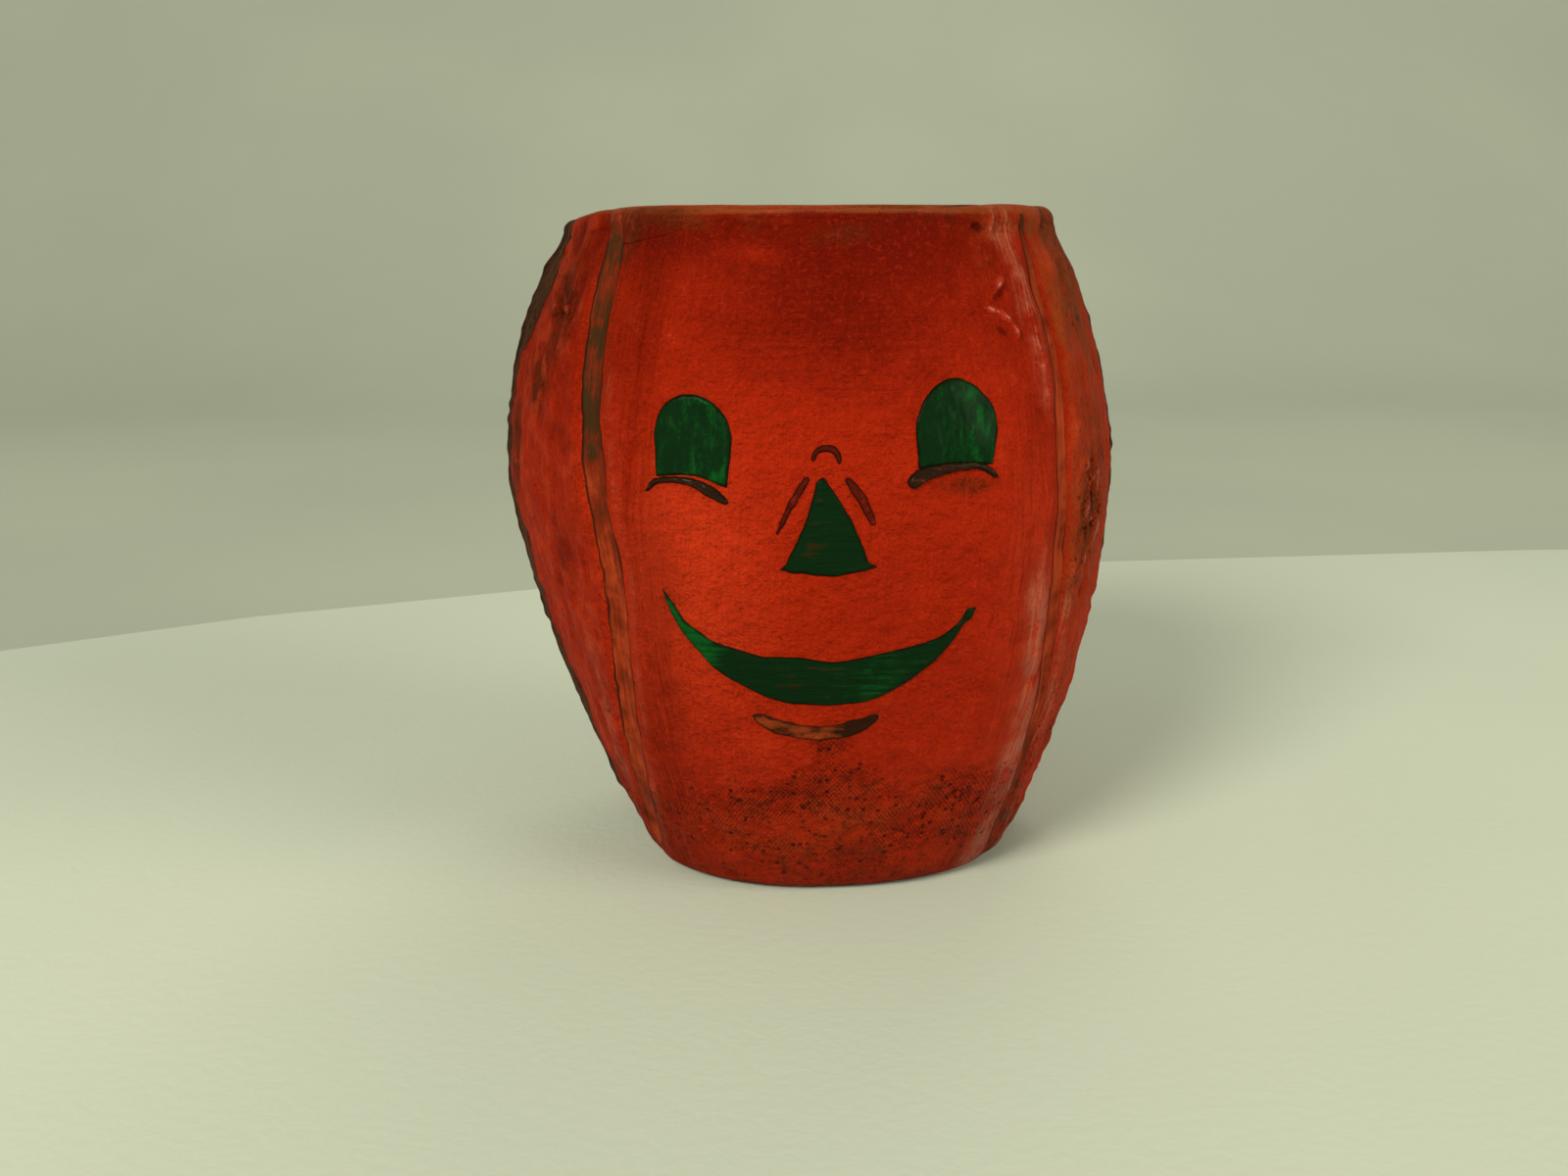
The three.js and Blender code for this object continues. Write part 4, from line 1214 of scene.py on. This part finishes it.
MOUTH_LOWER = (
    (12.9, 31.3), (12.5, 30.3), (11.8, 29.8), (10.6, 28), (9.0, 26.2), (6.6, 24.4), (3.6, 22.9),
    (0.4, 22.45), (-2.2, 22.5), (-4.6, 22.8), (-7.6, 24.0), (-10.3, 25.7), (-12.3, 27.9),
    (-13.7, 29.8), (-14.5, 31.5),
)
MOUTH = np.vstack([through(MOUTH_UPPER, 90), through(MOUTH_LOWER, 90)])
print("outline points:", len(LEFT_EYE), len(NOSE), len(MOUTH))

# %% Lay the green paint
UPRIGHT_RIDGES, LEVEL_RIDGES = (0.035, (3, 3, 0.5)), (0.035, (0.5, 0.5, 3))
GREEN_FILMS = (
    ("left_eye", LEFT_EYE, "eye_green", UPRIGHT_RIDGES),
    ("right_eye", RIGHT_EYE, "eye_green", UPRIGHT_RIDGES),
    ("nose", NOSE, "nose_green", LEVEL_RIDGES),
    ("mouth", MOUTH, "mouth_green", LEVEL_RIDGES),
)
for node, outline, finish, ridges in GREEN_FILMS:
    film = lay_film(node + "_paint", outline, POSTER[finish], 0.2, 0.18, (0.05, 1.2), ridges)
    settle(film, "green_paint", node)

# %% [markdown]
# ## Lids and lines
# The lower lids are the thickest paint on the cup: a ridge pushed up under each eye, dark
# at its blunt ends, with a painted tan highlight on its top. The lines beside the nose,
# the small arc over it and the chin line are single strokes of the same brown.

# %% Lay the brown paint
# Each stroke: its solid, finish and thickness, then its points and the widths along it
STROKES = {
    "left_lid_paint": (
        "left_lid", "lid_brown", 0.32,
        ((-16.3, 42.0), (-15.2, 43.0), (-12.7, 43.1), (-10.9, 42.4), (-9.2, 41.3)),
        (0.35, 0.5, 0.6, 0.95, 0.6),
    ),
    "right_lid_paint": (
        "right_lid", "lid_brown", 0.36,
        ((6.4, 42.7), (7.8, 43.7), (10.6, 44.2), (12.9, 44.1), (14.5, 43.1)),
        (1.2, 1.15, 0.75, 0.6, 0.5),
    ),
    "bridge_arc_paint": (
        "nose_bridge_arc", "line_brown", 0.16,
        ((-2.0, 45.0), (-1.6, 45.8), (-0.7, 46.1), (0.1, 45.7), (0.4, 44.7)),
        (0.4, 0.5, 0.55, 0.6, 0.4),
    ),
    "left_nose_line_paint": (
        "left_nose_line", "line_brown", 0.16,
        ((-2.3, 43.7), (-3.6, 41.7), (-5.0, 38.7)), (0.55, 0.6, 0.28),
    ),
    "right_nose_line_paint": (
        "right_nose_line", "line_brown", 0.18,
        ((0.9, 43.6), (2.3, 41.7), (3.4, 39.4)), (0.55, 0.85, 0.6),
    ),
    "chin_paint": (
        "chin_line", "chin_brown", 0.14,
        ((-7.1, 21.2), (-4.4, 20.0), (-1.0, 19.5), (2.0, 20.0), (4.4, 21.2)),
        (0.9, 1.6, 1.4, 1.6, 0.7),
    ),
}
STROKE_ROUGHNESS, STROKE_RIDGES = (0.07, 0.9), (0.06, (1, 1, 2))
for name, (node, finish, thickness, points, widths) in STROKES.items():
    outline = stroke(points, widths)
    film = lay_film(name, outline, POSTER[finish], thickness, 0.12, STROKE_ROUGHNESS, STROKE_RIDGES)
    settle(film, "brown_paint", node)

# %% [markdown]
# ## Brown lines down the grooves
# A loaded brush was drawn down each groove. The line follows a path on a curved skin and
# is made four times, which is work for Geometry Nodes: a small ring is swept along the
# path, pressed onto the skin, and given a rounded thickness and a wandering width.

# %% Geometry Nodes: a painted line that follows a path on the skin
LINE_THICKNESS = 0.09
LINE_DEPTH = 0.05


def open_tree(name, inputs):
    """A geometry tree with named inputs, and the wrapper to write it with."""
    tree = bpy.data.node_groups.new(name, "GeometryNodeTree")
    sheet = Sheet(tree)
    tree.interface.new_socket("Geometry", in_out="INPUT", socket_type="NodeSocketGeometry")
    for label, kind in inputs.items():
        tree.interface.new_socket(label, in_out="INPUT", socket_type="NodeSocket" + kind)
    tree.interface.new_socket("Geometry", in_out="OUTPUT", socket_type="NodeSocketGeometry")
    source = tree.nodes.new("NodeGroupInput")
    given = {socket.name: Wire(sheet, socket) for socket in source.outputs if socket.name}
    return tree, sheet, given


def groove_line_tree():
    tree, sheet, given = open_tree("painted_groove_line", {
        "Skin": "Object", "Rim Paper": "Object", "Width": "Float", "Thickness": "Float",
        "Thin Top": "Float", "Seed": "Float", "Finish": "Material",
    })

    def vector(operation, first, second=None, **more):
        values = {0: first} if second is None else {0: first, 1: second}
        return sheet.put("ShaderNodeVectorMath", {"operation": operation}, {**values, **more})

    def store(shape, kind, label, value):
        stored = {"Geometry": shape, "Name": label, "Value": value}
        return sheet.put("GeometryNodeStoreNamedAttribute", {"data_type": kind}, stored)

    def recall(kind, label):
        return sheet.put("GeometryNodeInputNamedAttribute", {"data_type": kind}, {"Name": label})

    middle = sheet.put("GeometryNodeInputPosition")
    outward = vector("MULTIPLY", middle, (1, 1, 0))
    tangent = sheet.put("GeometryNodeInputTangent")
    sideways = vector("NORMALIZE", vector("CROSS_PRODUCT", outward, tangent))
    path = store(given["Geometry"], "FLOAT_VECTOR", "middle", middle)
    path = store(path, "FLOAT_VECTOR", "sideways", sideways)
    path = store(path, "FLOAT", "along", sheet.put("GeometryNodeSplineParameter"))

    ring = sheet.put("GeometryNodeCurvePrimitiveCircle", {}, {"Resolution": 26, "Radius": 1.0})
    apart = sheet.put("ShaderNodeSeparateXYZ", {}, {0: sheet.put("GeometryNodeInputPosition")})
    ring = store(store(ring, "FLOAT", "across", apart), "FLOAT", "over", apart.other(1))
    small = sheet.put("GeometryNodeTransform", {}, {"Geometry": ring, "Scale": (MM, MM, MM)})
    swept = {"Curve": path, "Profile Curve": small, "Fill Caps": True}
    tube = sheet.put("GeometryNodeCurveToMesh", {}, swept)

    along, across, over = (recall("FLOAT", label) for label in ("along", "across", "over"))
    side = across.sum("SIGN")
    lane = sheet.put("ShaderNodeCombineXYZ", {}, {0: along * 16, 1: given["Seed"], 2: side * 3})
    wander = sheet.noise(lane, 1.0, 4)
    blunt = 1 - (along * 2 - 1).sum("ABSOLUTE") ** 24 * 0.6
    thinned = 1 - given["Thin Top"] * (1 - sheet.rise(along, 0.16, 0.36))
    width = given["Width"] * (wander * 0.9 + 0.55) * blunt * thinned
    aside = vector("SCALE", recall("FLOAT_VECTOR", "sideways"), Scale=across * width * 0.5)
    laid = vector("ADD", recall("FLOAT_VECTOR", "middle"), aside)
    relative = {"transform_space": "RELATIVE"}
    pulp, paper = (
        sheet.put("GeometryNodeObjectInfo", relative, {"Object": given[label]}, "Geometry")
        for label in ("Skin", "Rim Paper")
    )
    skin_shape = sheet.put("GeometryNodeJoinGeometry", {}, {0: pulp})
    tree.links.new(paper.socket, skin_shape.socket.node.inputs[0])
    on_skin = {0: skin_shape, "Sample Position": laid}
    nearest = sheet.put("GeometryNodeProximity", {"target_element": "FACES"}, on_skin)
    on_skin["Value"] = sheet.put("GeometryNodeInputNormal")
    facing = sheet.put("GeometryNodeSampleNearestSurface", {"data_type": "FLOAT_VECTOR"}, on_skin)
    lane = sheet.put("ShaderNodeCombineXYZ", {}, {0: along * 40, 1: across * 5, 2: given["Seed"]})
    hairs = sheet.noise(lane, 1.0, 3)
    upper = over.sum("MAXIMUM", 0.0) * given["Thickness"] * (hairs * 0.8 + 0.6)
    lift = upper + over.sum("MINIMUM", 0.0) * (LINE_DEPTH * MM)
    place = vector("ADD", nearest, vector("SCALE", facing, Scale=lift))
    line = sheet.put("GeometryNodeSetPosition", {}, {"Geometry": tube, "Position": place})
    line = sheet.put("GeometryNodeSetMaterial", {}, {"Geometry": line, "Material": given["Finish"]})
    line = sheet.put("GeometryNodeRealizeInstances", {}, {"Geometry": line})
    sheet.put("NodeGroupOutput", {}, {0: line})
    return tree


line_tree = groove_line_tree()
print("groove line tree nodes:", len(line_tree.nodes))

# %% [markdown]
# The brown of the grooves is thin: the orange shows through it, the brush hairs run down
# it, and it dried darkest along both edges and where it pooled high on the left.


# %% Finish: thin brown down the grooves
def groove_finish():
    material, sheet = start_finish("groove_brown")
    rise, place, across = sheet.rise, sheet.place(), sheet.note("across")
    lane = sheet.put("ShaderNodeCombineXYZ", {}, {0: across * 5, 1: sheet.note("along") * 12})
    hairs = sheet.noise(lane, 1.0, 7, 0.72) - 0.5
    cloud = sheet.noise(place, 300, 6, 0.66) - 0.5
    fine = sheet.noise(place, 1700, 3, 0.6)
    tone = sheet.note("deep") + hairs * 2.0 + cloud * 2.6
    rim_dark = rise(across.sum("ABSOLUTE") + hairs * 0.8, 0.74, 1.0)
    rim_dark = rim_dark + rise(across * -1 + hairs, 0.62, 0.9) * 0.4
    colour = sheet.layers(paint(166, 60, 28), (
        (rise(tone, -0.3, 0.6), paint(110, 33, 13)),
        (rise(tone, 0.5, 1.0), paint(60, 36, 17)),
        (rim_dark * 0.8, paint(44, 18, 8)),
    ))
    height = hairs * 1.2 + cloud + fine * 0.3
    close_finish(sheet, colour, 0.42 + fine * 0.25, height, 0.14, PAINT_SHINE)
    return material


groove_brown = groove_finish()
print("groove finish nodes:", len(groove_brown.node_tree.nodes))


# %% Draw the four lines
LINE_FOOT, LINE_HOVER = 2.3, 0.5
LINE_POINTS = 240
# Top, width, how much of the width the top lacks, and how dark the brown is on the way down
LINES = {
    "left": (65.4, 2.8, 0.0, (
        0.2, 0.7, 0.75, 1.05, 0.8, 1.1, 0.7, 0.5, 0.5, 0.4, 0.25, 0.15, 0.1, 0.15, 0.15, 0.15,
        0.25, 0.4, 0.35, 0.3,
    )),
    "right": (65.3, 1.8, 0.4, (
        0.7, 0.45, 0.2, 0.05, 0.0, 0.0, 0.0, 0.05, 0.1, 0.25, 0.3, 0.35, 0.2, 0.15, 0.3, 0.4,
        0.4, 0.5, 0.6, 0.6,
    )),
}


def groove_path(name, left, rear, top):
    z = np.linspace(top, LINE_FOOT, LINE_POINTS)
    fold = groove_angle(z, left)
    angle = (math.pi - fold if rear else fold) * (-1 if left else 1)
    points = on_cup(angle, skin(angle, z) + LINE_HOVER, z) * MM
    curve = bpy.data.curves.new(name, "CURVE")
    curve.dimensions = "3D"
    spline = curve.splines.new("POLY")
    spline.points.add(len(points) - 1)
    spline.points.foreach_set("co", np.hstack([points, np.ones((len(points), 1))]).ravel())
    return add_object(name, curve)


def grown(path, tree, values, name):
    """Runs a tree on an object and keeps the result as a plain mesh."""
    modifier = path.modifiers.new("grow", "NODES")
    modifier.node_group = tree
    sockets = {s.name: s.identifier for s in tree.interface.items_tree if s.in_out == "INPUT"}
    for label, value in values.items():
        modifier[sockets[label]] = value
    evaluated = path.evaluated_get(bpy.context.evaluated_depsgraph_get())
    mesh = bpy.data.meshes.new_from_object(evaluated)
    mesh.name = name
    bpy.data.objects.remove(path)
    mesh.shade_smooth()
    return add_object(name, mesh)


for number, (end, side) in enumerate((end, side) for end in ("front", "rear") for side in LINES):
    name = end + "_" + side
    top, width, thin_top, darkness = LINES[side]
    values = {
        "Skin": rear_shell if end == "rear" else front_shell, "Rim Paper": rim,
        "Thickness": LINE_THICKNESS * MM, "Width": width * MM, "Thin Top": thin_top,
        "Seed": 3.0 + 5 * number, "Finish": groove_brown,
    }
    path = groove_path(name + "_path", side == "left", end == "rear", top)
    line = grown(path, line_tree, values, name + "_groove_paint")
    along = np.zeros(len(line.data.vertices), np.float32)
    line.data.attributes["along"].data.foreach_get("value", along)
    deep = np.interp(along, np.linspace(0, 1, len(darkness)), darkness).astype(np.float32)
    line.data.attributes.new("deep", "FLOAT", "POINT").data.foreach_set("value", deep)
    settle(line, "groove_paint", name + "_groove_line")

# %% [markdown]
# ## A table and soft light
# The photograph was taken by a window, on a pale sheet against a plain wall. Here it is a
# pale floor that runs back to a grey-green wall, a big soft light from the upper left and
# a weaker one from the right, so the satin paint gets a broad, quiet sheen.


# %% Stage, lights and view
FLOOR_HALF, WALL_HALF, WALL_TOP = 1.2, 1.8, 1.6
BEND_RADIUS, BEND_START, FLOOR_DROP = 0.3, 0.35, 0.002
# The far edge of the sheet: it crosses the picture behind the cup, with a slight bow
SHEET_EDGE = (
    (-1.2, -0.18), (-0.13, 0.064), (-0.085, 0.088), (-0.04, 0.104), (0.05, 0.118), (0.147, 0.124),
    (1.2, 0.13),
)
WARM = (1.0, 1.0, 0.76)
# Place, width and power of each lamp, in metres and watts
LAMPS = {
    "window_light": ((-0.4, -0.56, 0.5), 0.3, 6.0),
    "left_light": ((-0.7, -0.25, 0.3), 0.5, 0.6),
    "right_light": ((0.66, -0.4, 0.34), 0.5, 3.7),
    "rear_light": ((0.2, 0.6, 0.6), 0.5, 1.8),
}
LAMP_AIM = Vector((0, 0, 0.03))
ROOM_COLOUR, ROOM_STRENGTH = (0.93, 1.0, 0.74, 1), 0.34


def stage_finish(name, colour, shade):
    material, sheet = start_finish(name)
    place = sheet.place()
    cloud = sheet.rise(sheet.noise(place, 6, 3, 0.5), 0.3, 0.7)
    fine = sheet.noise(place, 900, 2, 0.5)
    close_finish(sheet, sheet.blend(cloud, colour, shade), 0.7, fine, 0.05, 0.2)
    return material


def stage_piece(name, points, faces, finish):
    mesh = bpy.data.meshes.new(name)
    mesh.from_pydata(points, [], faces)
    mesh.shade_smooth()
    mesh.materials.append(finish)
    piece = add_object(name, mesh)


def pale_sheet():
    near = [(-FLOOR_HALF, -FLOOR_HALF, 0), (FLOOR_HALF, -FLOOR_HALF, 0)]
    corners = near + [(x, y, 0) for x, y in SHEET_EDGE[::-1]]
    finish = stage_finish("pale_sheet", paint(197, 200, 194), paint(189, 193, 187))
    stage_piece("table_sheet", corners, [range(len(corners))], finish)


def backdrop():
    """A floor that curves up into the wall, just under the pale sheet."""
    bend = [
        (BEND_START + BEND_RADIUS * math.sin(t), BEND_RADIUS * (1 - math.cos(t)) - FLOOR_DROP)
        for t in np.linspace(0, math.pi / 2, 16)
    ]
    run = [(-FLOOR_HALF, -FLOOR_DROP), *bend, (BEND_START + BEND_RADIUS, WALL_TOP)]
    points = [(x, y, z) for y, z in run for x in (-WALL_HALF, WALL_HALF)]
    faces = [(i, i + 1, i + 3, i + 2) for i in range(0, len(points) - 2, 2)]
    finish = stage_finish("grey_wall", paint(173, 175, 168), paint(166, 169, 163))
    stage_piece("grey_backdrop", points, faces, finish)


def soft_light(name, place, width, power):
    lamp = bpy.data.lights.new(name, "AREA")
    lamp.shape, lamp.size, lamp.energy, lamp.color = "DISK", width, power, WARM
    piece = add_object(name, lamp)
    piece.location = place
    piece.rotation_euler = (LAMP_AIM - Vector(place)).to_track_quat("-Z", "Y").to_euler()


pale_sheet()
backdrop()
for name, values in LAMPS.items():
    soft_light(name, *values)
world = bpy.data.worlds.new("room")
bpy.context.scene.world = world
world.use_nodes = True
room = Sheet(world.node_tree)
glow = room.put("ShaderNodeBackground", {}, {"Color": ROOM_COLOUR, "Strength": ROOM_STRENGTH})
room.put("ShaderNodeOutputWorld", {}, {"Surface": glow})
bpy.context.scene.view_settings.view_transform = "Standard"
print("sheet edge behind the cup in mm:", SHEET_EDGE[3][1] / MM)

# %% [markdown]
